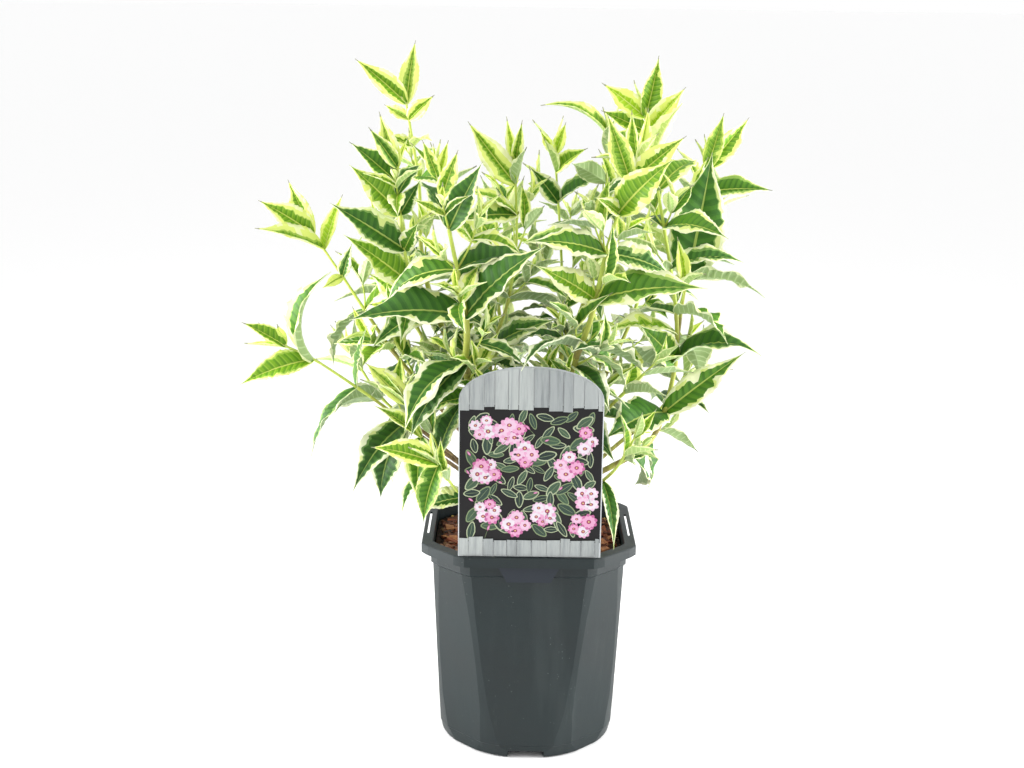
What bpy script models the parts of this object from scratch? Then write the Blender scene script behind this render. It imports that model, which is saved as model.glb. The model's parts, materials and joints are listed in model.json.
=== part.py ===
"""A variegated dwarf weigela in its nursery pot, with a plant card standing in the rim.

Metres, +Z up, the origin at the middle of the pot's flat underside, and the card's
face to -Y. Canes leave a short woody trunk as tapering boughs. Each bough hands over
to a leafy mass: a stem, its fork and its side twigs, with leaves in opposite pairs,
every pair turned a quarter from the pair below. A leaf that would touch what is
already there is turned, shortened or left out.
"""

import math
import random
from collections import namedtuple

import bmesh
import bpy
from mathutils import Matrix, Vector
from mathutils.bvhtree import BVHTree

MM = 0.001
GAP = 0.3 * MM
WORLD_UP = Vector((0, 0, 1))

# The pot is square with cut corners at the rim and round at the foot.
POT_HEIGHT = 175 * MM
RIM_HALF = 85 * MM
CORNER_CUT = 32 * MM
FOOT_RADIUS = 70 * MM
WALL = 1.4 * MM
SOFT_CORNER = 0.985
SKIRT_HEIGHT = 8 * MM
FLANGE = 1.6 * MM
COLLAR_HALF = 77.6 * MM
COLLAR_FOOT = 157.5 * MM
COLLAR_STEP = 1.6 * MM
BODY_LEVELS = (40 * MM, 80 * MM, 120 * MM)
BAND_HEIGHT = 10 * MM
BAND_STEP = 0.5 * MM
EDGE = 0.7 * MM
FLOOR_UNDER = 6.2 * MM
FLOOR_OVER = 7.8 * MM
FOOT_RING = 3.5 * MM
PAD_RADIUS = 15 * MM
FLAT_STEPS, ARC_STEPS, CUT_STEPS = 2, 2, 2
NARROWEST_FLAT = math.radians(3)
NOTCHES = 4
NOTCH = Vector((29 * MM, 10 * MM, 6 * MM))
SLOT_DISTANCE = 81 * MM
SLOT = Vector((54 * MM, 1.8 * MM, 10 * MM))

# The potting mix, mounded a little towards the trunk.
MIX_GAP = 0.9 * MM
MIX_EDGE_HEIGHT = 161.5 * MM
MIX_MOUND = 1.5 * MM
MIX_SHOULDER = 45 * MM

# The card and the tongue that holds it in the front slot.
CARD_THICKNESS = 0.9 * MM
CARD_HALF = 55 * MM
CARD_SHOULDER = 300 * MM
CARD_TOP = 326 * MM
ARCH_STEPS = 20
TONGUE_HALF = 25 * MM
TONGUE_FOOT_HALF = 17 * MM
TONGUE_BEND = 168 * MM
TONGUE_FOOT = 154 * MM

# The woody trunk ends in a rounded head that the canes leave.
TRUNK_FLARE = 17 * MM
TRUNK_WAIST = 11.5 * MM
FLARE_HEIGHT = 9 * MM
TRUNK_SIDES = 16
HEAD_RADIUS = 14 * MM
HEAD = Vector((1.5 * MM, 1 * MM, 189 * MM))
HEAD_FROM = -38
HEAD_STEPS = 6
LEAD_OUT = 2.4 * HEAD_RADIUS
BOUGH_FOOT = 1.15

# Leaves and twigs
CURVE_STEP = 17 * MM
TIP_RADIUS = 0.8 * MM
TWIG_RADIUS = 0.9 * MM
TWIG_SHARE = 0.4
TWIGS_FROM = 0.7
TWIG_REACH = (16, 30)
TWIG_SPREAD = 38
TWIG_RISE = 0.35
TWIG_TIP = 0.8
TWIG_LEAF = 0.62
TWIG_LEAF_AGE = 0.2
LEAF_STATIONS = (0.28, 0.66)
SMALL_LEAF_STATIONS = (0.42,)
SMALL_LEAF = 38 * MM
LEAF_THICKNESS = 1 / 50
LEAF_BELLY = 0.72
LEAF_POINT = 1.12
ROOT_DEPTH = 0.55
LEAST_ROOT_ANGLE = 0.35
CLEAR_OF_STEM = 0.14
CLEAR_OF_LEAF = 0.4 * MM
BEARING_TRIES = (0, 14, -14, 28, -28, 42, -42)
LENGTH_TRIES = (1.0, 0.82)
NUDGES = ((0, 0), (0, -7), (0, 7), (6, 0), (-6, 0), (0, -15), (0, 15), (10, -8), (-10, 8))
FIRST_PAIR = 0.06
LAST_PAIR = 0.995
BUD_LEAF = 0.55
PAIR_CROWDING = 1.45
GROWN_OVER = 70 * MM
SOLVER = "MANIFOLD"

GREEN = (0.07, 0.19, 0.05, 1)
BARK = (0.20, 0.16, 0.08, 1)
SLATE = (0.045, 0.058, 0.062, 1)
SOIL = (0.12, 0.05, 0.03, 1)
CARD = (0.60, 0.62, 0.66, 1)

# One cane: where it leaves the trunk's head (azimuth and elevation in degrees), its
# route in millimetres with its bough ending at the first point, its radius there, and
# its leaves: pairs, length of a grown leaf and bearing of the first pair.
Cane = namedtuple("Cane", "name leaves_at route girth pairs leaf bearing")
CANES = (
    Cane("low_left", (196, 30), ((-88, -18, 254), (-120, -35, 285), (-166, -50, 321), (-190, -52, 333)),
         1.5, 4, 66, 60),
    Cane("left", (163, 42), ((-102, 16, 302), (-129, 22, 338), (-151, 28, 370), (-177, 30, 408)),
         1.7, 5, 62, 80),
    Cane("front_left", (238, 56), ((-48, -45, 302), (-50, -62, 355), (-62, -68, 420), (-72, -70, 466)),
         3.0, 6, 76, 10),
    Cane("upper_left", (178, 68), ((-69, 10, 330), (-88, 19, 390), (-91, 20, 450), (-101, 20, 514)),
         2.4, 7, 60, 20),
    Cane("centre", (118, 66), ((-33, 30, 297), (-20, 36, 350), (-13, 40, 400), (-15, 40, 464)),
         1.7, 6, 64, 95),
    Cane("right_back", (55, 66), ((24, 44, 300), (42, 54, 345), (57, 60, 410), (62, 62, 484)),
         2.2, 7, 66, 0),
    Cane("front_right", (300, 64), ((31, -45, 315), (45, -55, 360), (57, -60, 420), (76, -62, 478)),
         2.6, 6, 74, 30),
    Cane("right", (0, 30),
         ((62, 0, 222), (98, 0, 247), (113, 0, 292), (116, 0, 340), (107, 0, 400), (85, 0, 508)),
         2.4, 10, 66, 40),
    Cane("low_front_left", (224, 24), ((-62, -44, 238), (-84, -60, 262), (-96, -66, 292)),
         1.5, 4, 56, 50),
    Cane("rim_left", (250, 20), ((-40, -60, 214), (-56, -76, 226), (-70, -86, 250)),
         1.3, 3, 52, 0),
    Cane("low_front_right", (318, 22), ((50, -46, 222), (66, -60, 240), (80, -66, 268)),
         1.3, 3, 52, 40),
    Cane("low_right", (335, 48), ((48, -20, 262), (72, -28, 292), (96, -32, 318)),
         1.6, 4, 56, 20),
    Cane("back_left", (130, 36), ((-72, 76, 282), (-106, 96, 336), (-126, 104, 396)),
         1.9, 6, 64, 30),
    Cane("back_left_low", (155, 16), ((-84, 44, 236), (-124, 64, 262), (-152, 74, 300)),
         1.6, 4, 60, 0),
    Cane("back", (100, 48), ((-18, 88, 292), (-30, 116, 350), (-30, 126, 420)),
         2.0, 6, 66, 60),
    Cane("back_right", (50, 42), ((66, 78, 286), (92, 102, 342), (104, 110, 404)),
         1.9, 6, 64, 10),
    Cane("back_low", (78, 20), ((30, 84, 234), (40, 122, 262), (42, 142, 302)),
         1.6, 4, 60, 70),
    Cane("right_back_low", (25, 22), ((76, 40, 234), (114, 60, 262), (140, 70, 300)),
         1.6, 4, 60, 20),
)

# A fork leaves its cane's stem at a share of the stem's length.
Fork = namedtuple("Fork", "name on at route girth pairs leaf bearing")
FORKS = (
    Fork("upper_left_inner", "upper_left", 0.10, ((-88, -14, 362), (-99, -32, 405), (-104, -38, 470)),
         1.6, 6, 62, 0),
    Fork("centre_back", "right_back", 0.04, ((27, 70, 345), (24, 84, 400), (18, 88, 470)),
         1.5, 6, 58, 70),
    Fork("far_right", "right", 0.39, ((124, 28, 366), (136, 52, 408), (142, 62, 462)),
         1.7, 5, 68, 60),
)

# Leaves that are placed singly, by shoot, pair and side: the tip in millimetres, the
# bend in degrees, where the upper face looks (azimuth and elevation), and the width
# as a share of the length.
SHOWN = {
    ("low_left", 3, 0): ((-223, -56, 352), 20, (270, 50), 0.40),
    ("low_left", 3, 1): ((-198, -40, 348), 10, (270, 30), 0.40),
    ("low_left", 2, 0): ((-152, -62, 392), 100, (205, 15), 0.44),
    ("low_left", 2, 1): ((-224, -66, 307), 30, (270, 50), 0.40),
    ("low_left", 1, 0): ((-128, -32, 346), 25, (200, 10), 0.28),
    ("low_left", 1, 1): ((-171, -55, 245), 50, (210, 50), 0.28),
    ("low_left", 0, 0): ((-140, -70, 222), 50, (250, 40), 0.38),
    ("low_left", 0, 1): ((-116, -80, 286), 30, (265, 50), 0.45),
    ("left", 4, 0): ((-220, 26, 437), 15, (270, 40), 0.45),
    ("left", 4, 1): ((-200, 34, 450), 10, (265, 20), 0.36),
    ("left", 3, 0): ((-219, 12, 416), 20, (270, 55), 0.40),
    ("left", 3, 1): ((-153, 34, 440), 15, (235, 0), 0.30),
    ("left", 2, 0): ((-144, 20, 402), 20, (255, 5), 0.40),
    ("left", 2, 1): ((-168, 14, 366), 15, (270, 30), 0.45),
    ("front_left", 0, 0): ((-92, -84, 268), 60, (250, 60), 0.34),
    ("front_left", 0, 1): ((-62, -90, 256), 60, (290, 40), 0.30),
    ("front_left", 1, 0): ((-138, -85, 360), 45, (262, 50), 0.42),
    ("front_left", 1, 1): ((8, -88, 422), 30, (265, 50), 0.40),
    ("front_left", 3, 0): ((-39, -74, 480), 12, (260, 10), 0.38),
    ("front_left", 3, 1): ((-74, -92, 464), 20, (80, 5), 0.44),
    ("front_left", 4, 0): ((-94, -66, 492), 15, (255, 15), 0.38),
    ("front_left", 4, 1): ((-57, -84, 488), 15, (280, 15), 0.36),
    ("front_left", 5, 0): ((-65, -70, 494), 8, (270, 0), 0.30),
    ("front_left", 5, 1): ((-82, -76, 495), 8, (270, 0), 0.32),
    ("upper_left", 6, 0): ((-140, 14, 549), 15, (270, 30), 0.38),
    ("upper_left", 6, 1): ((-96, 20, 563), 10, (270, 5), 0.34),
    ("upper_left", 5, 0): ((-78, 12, 521), 20, (270, 20), 0.50),
    ("upper_left", 5, 1): ((-120, 22, 521), 15, (270, 30), 0.42),
    ("upper_left", 4, 0): ((-80, -2, 487), 60, (300, 40), 0.50),
    ("upper_left", 4, 1): ((-118, 10, 499), 20, (270, 40), 0.46),
    ("upper_left_inner", 5, 0): ((-117, -38, 512), 15, (265, 10), 0.36),
    ("upper_left_inner", 5, 1): ((-125, -46, 500), 15, (265, 35), 0.36),
    ("upper_left_inner", 4, 0): ((-141, -46, 488), 20, (265, 40), 0.40),
    ("upper_left_inner", 3, 0): ((-139, -60, 472), 25, (265, 30), 0.44),
    ("upper_left_inner", 3, 1): ((-86, -46, 461), 20, (275, 15), 0.44),
    ("upper_left_inner", 2, 0): ((-155, -52, 442), 20, (265, 35), 0.42),
    ("upper_left_inner", 2, 1): ((-87, -52, 430), 20, (270, 20), 0.44),
    ("upper_left_inner", 1, 0): ((-147, -50, 416), 25, (265, 40), 0.42),
    ("centre", 5, 0): ((-22, 40, 504), 8, (270, 5), 0.26),
    ("centre", 5, 1): ((-10, 38, 502), 8, (270, 5), 0.26),
    ("centre", 4, 0): ((-55, 36, 498), 20, (260, 20), 0.38),
    ("centre", 4, 1): ((8, 40, 522), 15, (275, 15), 0.34),
    ("centre", 3, 0): ((-61, 16, 420), 35, (265, 45), 0.44),
    ("centre", 2, 0): ((-43, 4, 380), 30, (265, 40), 0.44),
    ("centre", 0, 0): ((20, 0, 344), 30, (270, 50), 0.40),
    ("centre_back", 5, 0): ((5, 86, 490), 10, (270, 10), 0.40),
    ("centre_back", 5, 1): ((28, 86, 496), 10, (270, 10), 0.40),
    ("centre_back", 4, 0): ((45, 76, 476), 30, (270, 40), 0.50),
    ("centre_back", 3, 1): ((-3, 76, 461), 20, (265, 30), 0.44),
    ("right_back", 6, 0): ((5, 62, 512), 75, (330, 50), 0.32),
    ("right_back", 4, 0): ((31, 36, 468), 25, (80, 0), 0.44),
    ("front_right", 4, 0): ((53, -66, 514), 20, (260, 15), 0.36),
    ("front_right", 4, 1): ((110, -64, 500), 25, (280, 20), 0.38),
    ("front_right", 3, 0): ((99, -84, 485), 30, (275, 35), 0.46),
    ("front_right", 3, 1): ((44, -84, 455), 20, (260, 30), 0.42),
    ("front_right", 2, 0): ((-5, -82, 422), 35, (262, 45), 0.40),
    ("front_right", 2, 1): ((106, -42, 392), 35, (285, 45), 0.44),
    ("front_right", 1, 0): ((130, -84, 392), 40, (272, 50), 0.42),
    ("front_right", 1, 1): ((0, -78, 405), 25, (265, 35), 0.38),
    ("front_right", 0, 0): ((78, -80, 361), 35, (272, 45), 0.44),
    ("right", 9, 0): ((51, -6, 534), 20, (265, 15), 0.42),
    ("right", 9, 1): ((96, 2, 554), 12, (275, 5), 0.38),
    ("right", 8, 0): ((116, -4, 530), 20, (275, 30), 0.40),
    ("right", 8, 1): ((50, -8, 510), 20, (265, 30), 0.42),
    ("right", 2, 0): ((182, -24, 327), 90, (280, 70), 0.44),
    ("right", 2, 1): ((84, -24, 350), 30, (265, 30), 0.44),
    ("right", 1, 0): ((168, -20, 330), 15, (280, 30), 0.28),
    ("right", 1, 1): ((57, -60, 264), 40, (260, 50), 0.46),
    ("right", 0, 1): ((80, -60, 282), 20, (280, 30), 0.40),
    ("far_right", 4, 0): ((156, 58, 507), 15, (260, 10), 0.34),
    ("far_right", 4, 1): ((177, 66, 503), 15, (280, 15), 0.34),
    ("far_right", 3, 0): ((195, 50, 447), 25, (280, 40), 0.40),
    ("far_right", 1, 0): ((146, 30, 478), 25, (262, 15), 0.42),
    ("low_front_left", 3, 0): ((-131, -46, 319), 25, (265, 50), 0.42),
    ("low_front_left", 2, 1): ((-75, -84, 306), 40, (270, 40), 0.42),
    ("low_front_left", 1, 1): ((-86, -92, 221), 50, (265, 40), 0.42),
    ("rim_left", 2, 0): ((-83, -97, 207), 60, (262, 40), 0.44),
    ("rim_left", 2, 1): ((-122, -88, 262), 40, (255, 50), 0.44),
    ("low_front_right", 0, 0): ((64, -94, 186), 60, (290, 40), 0.20),
}

Leaf = namedtuple("Leaf", "base along up length width fold curl sway twist grown")


def turned(degrees):
    return math.radians(degrees)


def mix(low, high, share):
    return low + (high - low) * share


def smooth_through(points, step):
    """Points about a step apart on a Catmull-Rom curve through the given points."""
    padded = [2 * points[0] - points[1]] + points + [2 * points[-1] - points[-2]]
    found = [points[0].copy()]
    for before, start, end, after in zip(padded, padded[1:], padded[2:], padded[3:]):
        count = max(1, round((end - start).length / step))
        for i in range(1, count + 1):
            t = i / count
            found.append(
                0.5 * (2 * start + (end - before) * t
                       + (2 * before - 5 * start + 4 * end - after) * t ** 2
                       + (3 * start - before - 3 * end + after) * t ** 3)
            )
    return found


def lengths_along(points):
    run = [0.0]
    for a, b in zip(points, points[1:]):
        run.append(run[-1] + (b - a).length)
    return run


def point_at(points, run, distance):
    """The point and the tangent at a distance along a line of points."""
    for i in range(1, len(points)):
        if distance <= run[i] or i == len(points) - 1:
            share = (distance - run[i - 1]) / (run[i] - run[i - 1])
            return points[i - 1].lerp(points[i], share), (points[i] - points[i - 1]).normalized()


def stretch(points, first, last):
    """The part of a line of points between two distances along it."""
    run = lengths_along(points)
    kept = [p for p, d in zip(points, run) if first + 2 * MM < d < last - 2 * MM]
    return [point_at(points, run, first)[0]] + kept + [point_at(points, run, last)[0]]


def in_metres(route):
    return [Vector(p) * MM for p in route]


def direction(azimuth, elevation):
    flat = math.cos(turned(elevation))
    return Vector((
        flat * math.cos(turned(azimuth)),
        flat * math.sin(turned(azimuth)),
        math.sin(turned(elevation)),
    ))


def cane_lines(cane):
    """The bough's line and the stem's line, one after the other on the same curve."""
    start = HEAD + direction(*cane.leaves_at) * (HEAD_RADIUS + GAP)
    lead = HEAD + direction(*cane.leaves_at) * LEAD_OUT
    through = [start, lead] + in_metres(cane.route)
    line = smooth_through(through, CURVE_STEP)
    run = lengths_along(line)
    tip_of_bough = in_metres(cane.route)[0]
    nearest = min(range(len(line) - 1), key=lambda i: (line[i] - tip_of_bough).length)
    join = 0.5 * (run[nearest] + run[nearest + 1])
    return stretch(line, 0, join), stretch(line, join + GAP, run[-1])


def fork_line(fork, stem):
    run = lengths_along(stem)
    root = point_at(stem, run, fork.at * run[-1])[0]
    return smooth_through([root] + in_metres(fork.route), CURVE_STEP)


def bearing_frame(tangent):
    """Two directions square to a stem: bearing 0 is towards +X, and 90 a quarter on."""
    east = Vector((1, 0, 0)) - tangent * tangent.x
    if east.length < 0.2:
        east = Vector((0, 1, 0)) - tangent * tangent.y
    east.normalize()
    return east, tangent.cross(east)


def foot_of(stem_point, along, tangent, radius):
    """Where a leaf starts, past the middle of its stem."""
    steepness = max(LEAST_ROOT_ANGLE, along.cross(tangent).length)
    return stem_point - along * (ROOT_DEPTH * radius / steepness)


def rule_leaf(node, bearing, grown, length, rng):
    """A leaf set by its node's age: grown runs from 0 in the bud to 1 on old wood."""
    stem_point, tangent, radius = node
    east, north = bearing_frame(tangent)
    out = east * math.cos(turned(bearing)) + north * math.sin(turned(bearing))
    angle = turned(mix(16, 74, grown) + rng.uniform(-9, 9))
    along = tangent * math.cos(angle) + out * math.sin(angle)
    facing = tangent.lerp(WORLD_UP, 0.45 * grown)
    up = (facing - along * facing.dot(along)).normalized()
    roll = Matrix.Rotation(turned(rng.uniform(-34, 34)), 3, along)
    return Leaf(
        base=foot_of(stem_point, along, tangent, radius),
        along=along,
        up=roll @ up,
        length=length * rng.uniform(0.9, 1.1),
        width=length * mix(0.30, 0.45, grown) * rng.uniform(0.9, 1.08),
        fold=turned(mix(40, 18, grown) + rng.uniform(-6, 6)),
        curl=turned(mix(8, 58, grown) + rng.uniform(-16, 16)),
        sway=rng.uniform(-0.09, 0.09),
        twist=turned(rng.uniform(-28, 28)),
        grown=grown,
    )


def shown_leaf(node, tip, curl, faces, wide, grown, rng):
    """A leaf whose tip lies at a point, bent evenly, its upper face to a direction."""
    stem_point, tangent, radius = node
    chord = tip - stem_point
    toward = chord.normalized()
    facing = direction(*faces)
    up = (facing - toward * facing.dot(toward)).normalized()
    half = 0.5 * turned(curl)
    along = toward * math.cos(half) + up * math.sin(half)
    length = chord.length * half / math.sin(half)
    return Leaf(
        base=foot_of(stem_point, along, tangent, radius),
        along=along,
        up=up * math.cos(half) - toward * math.sin(half),
        length=length,
        width=length * wide,
        fold=turned(mix(30, 16, grown) + rng.uniform(-5, 5)),
        curl=turned(curl),
        sway=rng.uniform(-0.05, 0.05),
        twist=turned(rng.uniform(-18, 18)),
        grown=grown,
    )


def half_width(s):
    """A leaf's half width over its greatest half width: full low down, drawn out at the tip."""
    widest = LEAF_BELLY / (LEAF_BELLY + LEAF_POINT)
    most = widest ** LEAF_BELLY * (1 - widest) ** LEAF_POINT
    return s ** LEAF_BELLY * (1 - s) ** LEAF_POINT / most


def midrib(leaf, s):
    """The point, the run of the rib, the side and the upward direction at a share of the length."""
    across = leaf.along.cross(leaf.up)
    bent = leaf.curl * s
    ahead = leaf.length * s * math.sin(bent) / bent if abs(bent) > 1e-6 else leaf.length * s
    down = leaf.length * s * (1 - math.cos(bent)) / bent if abs(bent) > 1e-6 else 0
    sideways = leaf.sway * leaf.length * s * s
    point = leaf.base + leaf.along * ahead - leaf.up * down + across * sideways
    along = (leaf.along * math.cos(bent) - leaf.up * math.sin(bent)).normalized()
    twist = Matrix.Rotation(leaf.twist * s, 3, along)
    side = (twist @ across).normalized()
    return point, along, side, side.cross(along)


def leaf_rings(leaf, spare=0.0):
    """The foot, four points for each station (left edge, top, right edge, underside), and the tip."""
    stations = LEAF_STATIONS if leaf.length > SMALL_LEAF else SMALL_LEAF_STATIONS
    rings = []
    for s in stations:
        point, _, side, up = midrib(leaf, s)
        wide = 0.5 * leaf.width * half_width(s)
        out, lift = side * (wide * math.cos(leaf.fold)), up * (wide * math.sin(leaf.fold))
        thick = up * (0.5 * LEAF_THICKNESS * leaf.length + spare)
        rings.append((point - out + lift, point + thick, point + out + lift, point - thick))
    return midrib(leaf, 0.0)[0], rings, midrib(leaf, 1.0)[0]


def leaf_faces(foot, rings, tip):
    """Points and faces of a leaf's thin solid, split alike above and below so that they never cross."""
    points = [p for ring in rings for p in ring] + [tip, foot]
    faces = []
    for k in range(len(rings) - 1):
        for i in range(4):
            a, b = 4 * k + i, 4 * k + (i + 1) % 4
            if i % 2:
                faces += [(a, b, a + 4), (b, b + 4, a + 4)]
            else:
                faces += [(a, b, b + 4), (a, b + 4, a + 4)]
    last = 4 * (len(rings) - 1)
    faces += [(last + i, last + (i + 1) % 4, len(points) - 2) for i in range(4)]
    faces += [((i + 1) % 4, i, len(points) - 1) for i in range(4)]
    return points, faces


def blade_tree(leaf):
    """What the clearance test sees of a leaf: the blade without its foot."""
    foot, rings, tip = leaf_rings(leaf, spare=CLEAR_OF_LEAF)
    first = LEAF_STATIONS[0] if len(rings) > 1 else SMALL_LEAF_STATIONS[0]
    near = tuple(foot.lerp(p, CLEAR_OF_STEM / first) for p in rings[0])
    return tree_of(*leaf_faces(foot.lerp(sum(near, Vector()) / 4, 0.9), [near] + rings, tip))


Solid = namedtuple("Solid", "tree low high")


def tree_of(points, faces):
    low = Vector([min(p[i] for p in points) for i in range(3)])
    high = Vector([max(p[i] for p in points) for i in range(3)])
    return Solid(BVHTree.FromPolygons(points, faces), low, high)


def touches(one, other):
    apart = any(one.low[i] > other.high[i] or one.high[i] < other.low[i] for i in range(3))
    return not apart and bool(one.tree.overlap(other.tree))


class Growth:
    """Every mass as it grows, and what is already there."""

    def __init__(self, solids):
        self.placed = list(solids)

    def first_clear(self, candidates):
        """The first of the candidate leaves that is clear of everything, or None."""
        for leaf in candidates:
            blade = blade_tree(leaf)
            if not any(touches(blade, other) for other in self.placed):
                self.placed.append(blade)
                return leaf
        return None


Twig = namedtuple("Twig", "name at bearing reach")
Node = namedtuple("Node", "pair at bearing grown length")


def rule_tries(node, bearing, grown, length, seed):
    for shorter in LENGTH_TRIES:
        for turn in BEARING_TRIES:
            yield rule_leaf(node, bearing + turn, grown, length * shorter, random.Random(seed))


def shown_tries(node, reading, grown, seed):
    tip, curl, faces, wide = reading
    for shorter in LENGTH_TRIES:
        for up, back in NUDGES:
            aim = (Vector(tip) + Vector((0, back, up))) * MM
            aim = node[0].lerp(aim, shorter)
            yield shown_leaf(node, aim, curl, faces, wide, grown, random.Random(seed))


def nodes_along(line, spec):
    """Each pair's place on a stem, with the age and length of its leaves."""
    run = lengths_along(line)
    found = []
    for i in range(spec.pairs):
        upward = 1 - (1 - i / (spec.pairs - 1)) ** PAIR_CROWDING
        place = mix(FIRST_PAIR, LAST_PAIR, upward)
        point, tangent = point_at(line, run, place * run[-1])
        grown = min(1.0, (1 - place) * run[-1] / GROWN_OVER)
        length = spec.leaf * MM * mix(BUD_LEAF, 1.0, min(1.0, 1.6 * grown))
        radius = mix(spec.girth * MM, TIP_RADIUS, place)
        found.append(Node(i, (point, tangent, radius), spec.bearing + 90 * i, grown, length))
    return found


def leaves_along(growth, name, nodes, shown):
    """The leaves of one stem, some of them already placed, and the twigs in their axils."""
    leaves, twigs = [], []
    for node in nodes:
        for side in (0, 1):
            turn = node.bearing + 180 * side
            seed = f"{name} leaf {node.pair} {side}"
            leaf = shown.get((name, node.pair, side)) or growth.first_clear(
                rule_tries(node.at, turn, node.grown, node.length, seed))
            if leaf:
                leaves.append(leaf)
            rng = random.Random(f"{name} twig {node.pair} {side}")
            if node.grown > TWIGS_FROM and rng.random() < TWIG_SHARE:
                swung = turn + rng.uniform(-20, 20)
                reach = rng.uniform(*TWIG_REACH) * MM
                twigs.append(Twig(f"{name} twig {node.pair} {side}", node.at, swung, reach))
    return leaves, twigs


def twig_line(twig):
    point, tangent, _ = twig.at
    east, north = bearing_frame(tangent)
    out = east * math.cos(turned(twig.bearing)) + north * math.sin(turned(twig.bearing))
    along = tangent * math.cos(turned(TWIG_SPREAD)) + out * math.sin(turned(TWIG_SPREAD))
    half_way = point + along * (0.5 * twig.reach)
    onward = (along + TWIG_RISE * tangent).normalized()
    return [point, half_way, half_way + onward * (0.5 * twig.reach)]


def twig_with_leaves(growth, twig, leaf_length):
    """A side twig and its small leaves, or nothing where there is no room for it."""
    line = twig_line(twig)
    clear = [line[0].lerp(line[1], 0.5), line[1], line[2]]
    solid = tree_of(*tube_faces(clear, 2 * TWIG_RADIUS))
    if any(touches(solid, other) for other in growth.placed):
        return None, []
    growth.placed.append(solid)
    tip = (line[2].lerp(line[1], 0.08), (line[2] - line[1]).normalized(), TWIG_TIP * TWIG_RADIUS)
    length = TWIG_LEAF * leaf_length * MM
    tries = [
        rule_tries(tip, twig.bearing + 180 * side, TWIG_LEAF_AGE, length, f"{twig.name} {side}")
        for side in (0, 1)
    ]
    return line, [leaf for leaf in map(growth.first_clear, tries) if leaf]


def tube_faces(line, radius):
    """A three-sided sleeve round a line, for the clearance test."""
    points = []
    for i, p in enumerate(line):
        run = (line[min(i + 1, len(line) - 1)] - line[max(i - 1, 0)]).normalized()
        east, north = bearing_frame(run)
        for k in range(3):
            a = k * math.tau / 3
            points.append(p + (east * math.cos(a) + north * math.sin(a)) * radius)
    faces = [(2, 1, 0), tuple(len(points) - 3 + k for k in range(3))]
    for i in range(len(line) - 1):
        for k in range(3):
            a, b = 3 * i + k, 3 * i + (k + 1) % 3
            faces.append((a, b, b + 3, a + 3))
    return points, faces


# Scene helpers

def clear_scene():
    for obj in list(bpy.data.objects):
        bpy.data.objects.remove(obj, do_unlink=True)


def new_collection(name):
    made = bpy.data.collections.new(name)
    bpy.context.scene.collection.children.link(made)
    return made


def material(name, colour, roughness):
    made = bpy.data.materials.new(name)
    made.use_nodes = True
    shader = made.node_tree.nodes["Principled BSDF"]
    shader.inputs["Base Color"].default_value = colour
    shader.inputs["Roughness"].default_value = roughness
    made.diffuse_color = colour
    return made


def mesh_object(name, mesh, collection, finish):
    obj = bpy.data.objects.new(name, mesh)
    collection.objects.link(obj)
    if finish:
        mesh.materials.clear()
        mesh.materials.append(finish)
    return obj


def object_of_faces(name, points, faces, collection, finish=None):
    mesh = bpy.data.meshes.new(name)
    mesh.from_pydata([tuple(p) for p in points], [], faces)
    mesh.update()
    return mesh_object(name, mesh, collection, finish)


def mesh_of(obj, weld=True):
    """The evaluated mesh of an object, with a curve's loose caps welded."""
    graph = bpy.context.evaluated_depsgraph_get()
    graph.update()
    made = bpy.data.meshes.new_from_object(obj.evaluated_get(graph))
    made.transform(obj.matrix_world)
    bm = bmesh.new()
    bm.from_mesh(made)
    if weld:
        bmesh.ops.remove_doubles(bm, verts=bm.verts, dist=1e-6)
        bmesh.ops.recalc_face_normals(bm, faces=bm.faces)
    bm.to_mesh(made)
    bm.free()
    return made


def limb(name, line, foot_radius, tip_radius, collection, finish=None, sides=1):
    """A tapering round limb along a line, as a mesh with welded caps."""
    curve = bpy.data.curves.new(name, "CURVE")
    curve.dimensions = "3D"
    curve.bevel_depth = 1.0
    curve.bevel_resolution = sides
    curve.use_fill_caps = True
    spline = curve.splines.new("POLY")
    spline.points.add(len(line) - 1)
    run = lengths_along(line)
    for point, place, distance in zip(spline.points, line, run):
        point.co = (*place, 1)
        point.radius = mix(foot_radius, tip_radius, distance / run[-1])
    shape = bpy.data.objects.new(name, curve)
    collection.objects.link(shape)
    mesh = mesh_of(shape)
    bpy.data.objects.remove(shape)
    mesh.name = name
    return mesh_object(name, mesh, collection, finish)


def cut(obj, cutters):
    """Takes every object of the cutters' collection from this one."""
    modifier = obj.modifiers.new("cut", "BOOLEAN")
    modifier.operation = "DIFFERENCE"
    modifier.operand_type = "COLLECTION"
    modifier.collection = cutters
    modifier.solver = "EXACT"


def box(name, size, place, turn, collection):
    bm = bmesh.new()
    bmesh.ops.create_cube(bm, size=1.0)
    bmesh.ops.scale(bm, vec=size, verts=bm.verts)
    mesh = bpy.data.meshes.new(name)
    bm.to_mesh(mesh)
    bm.free()
    obj = mesh_object(name, mesh, collection, None)
    obj.matrix_world = Matrix.Rotation(turn, 4, "Z") @ Matrix.Translation(place)
    obj.hide_render = True
    obj.display_type = "WIRE"
    return obj


# Pot

Section = namedtuple("Section", "z flat diagonal round")


def cut_square(z, half, cut_corner):
    """A square with cut corners and slightly softened points."""
    corner = math.hypot(half, half - cut_corner)
    return Section(z, half, (2 * half - cut_corner) / math.sqrt(2), SOFT_CORNER * corner)


def circle(z, radius):
    return Section(z, radius, radius, radius)


def shrunk(section, by, z=None):
    place = section.z if z is None else z
    return Section(place, section.flat - by, section.diagonal - by, section.round - by)


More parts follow.
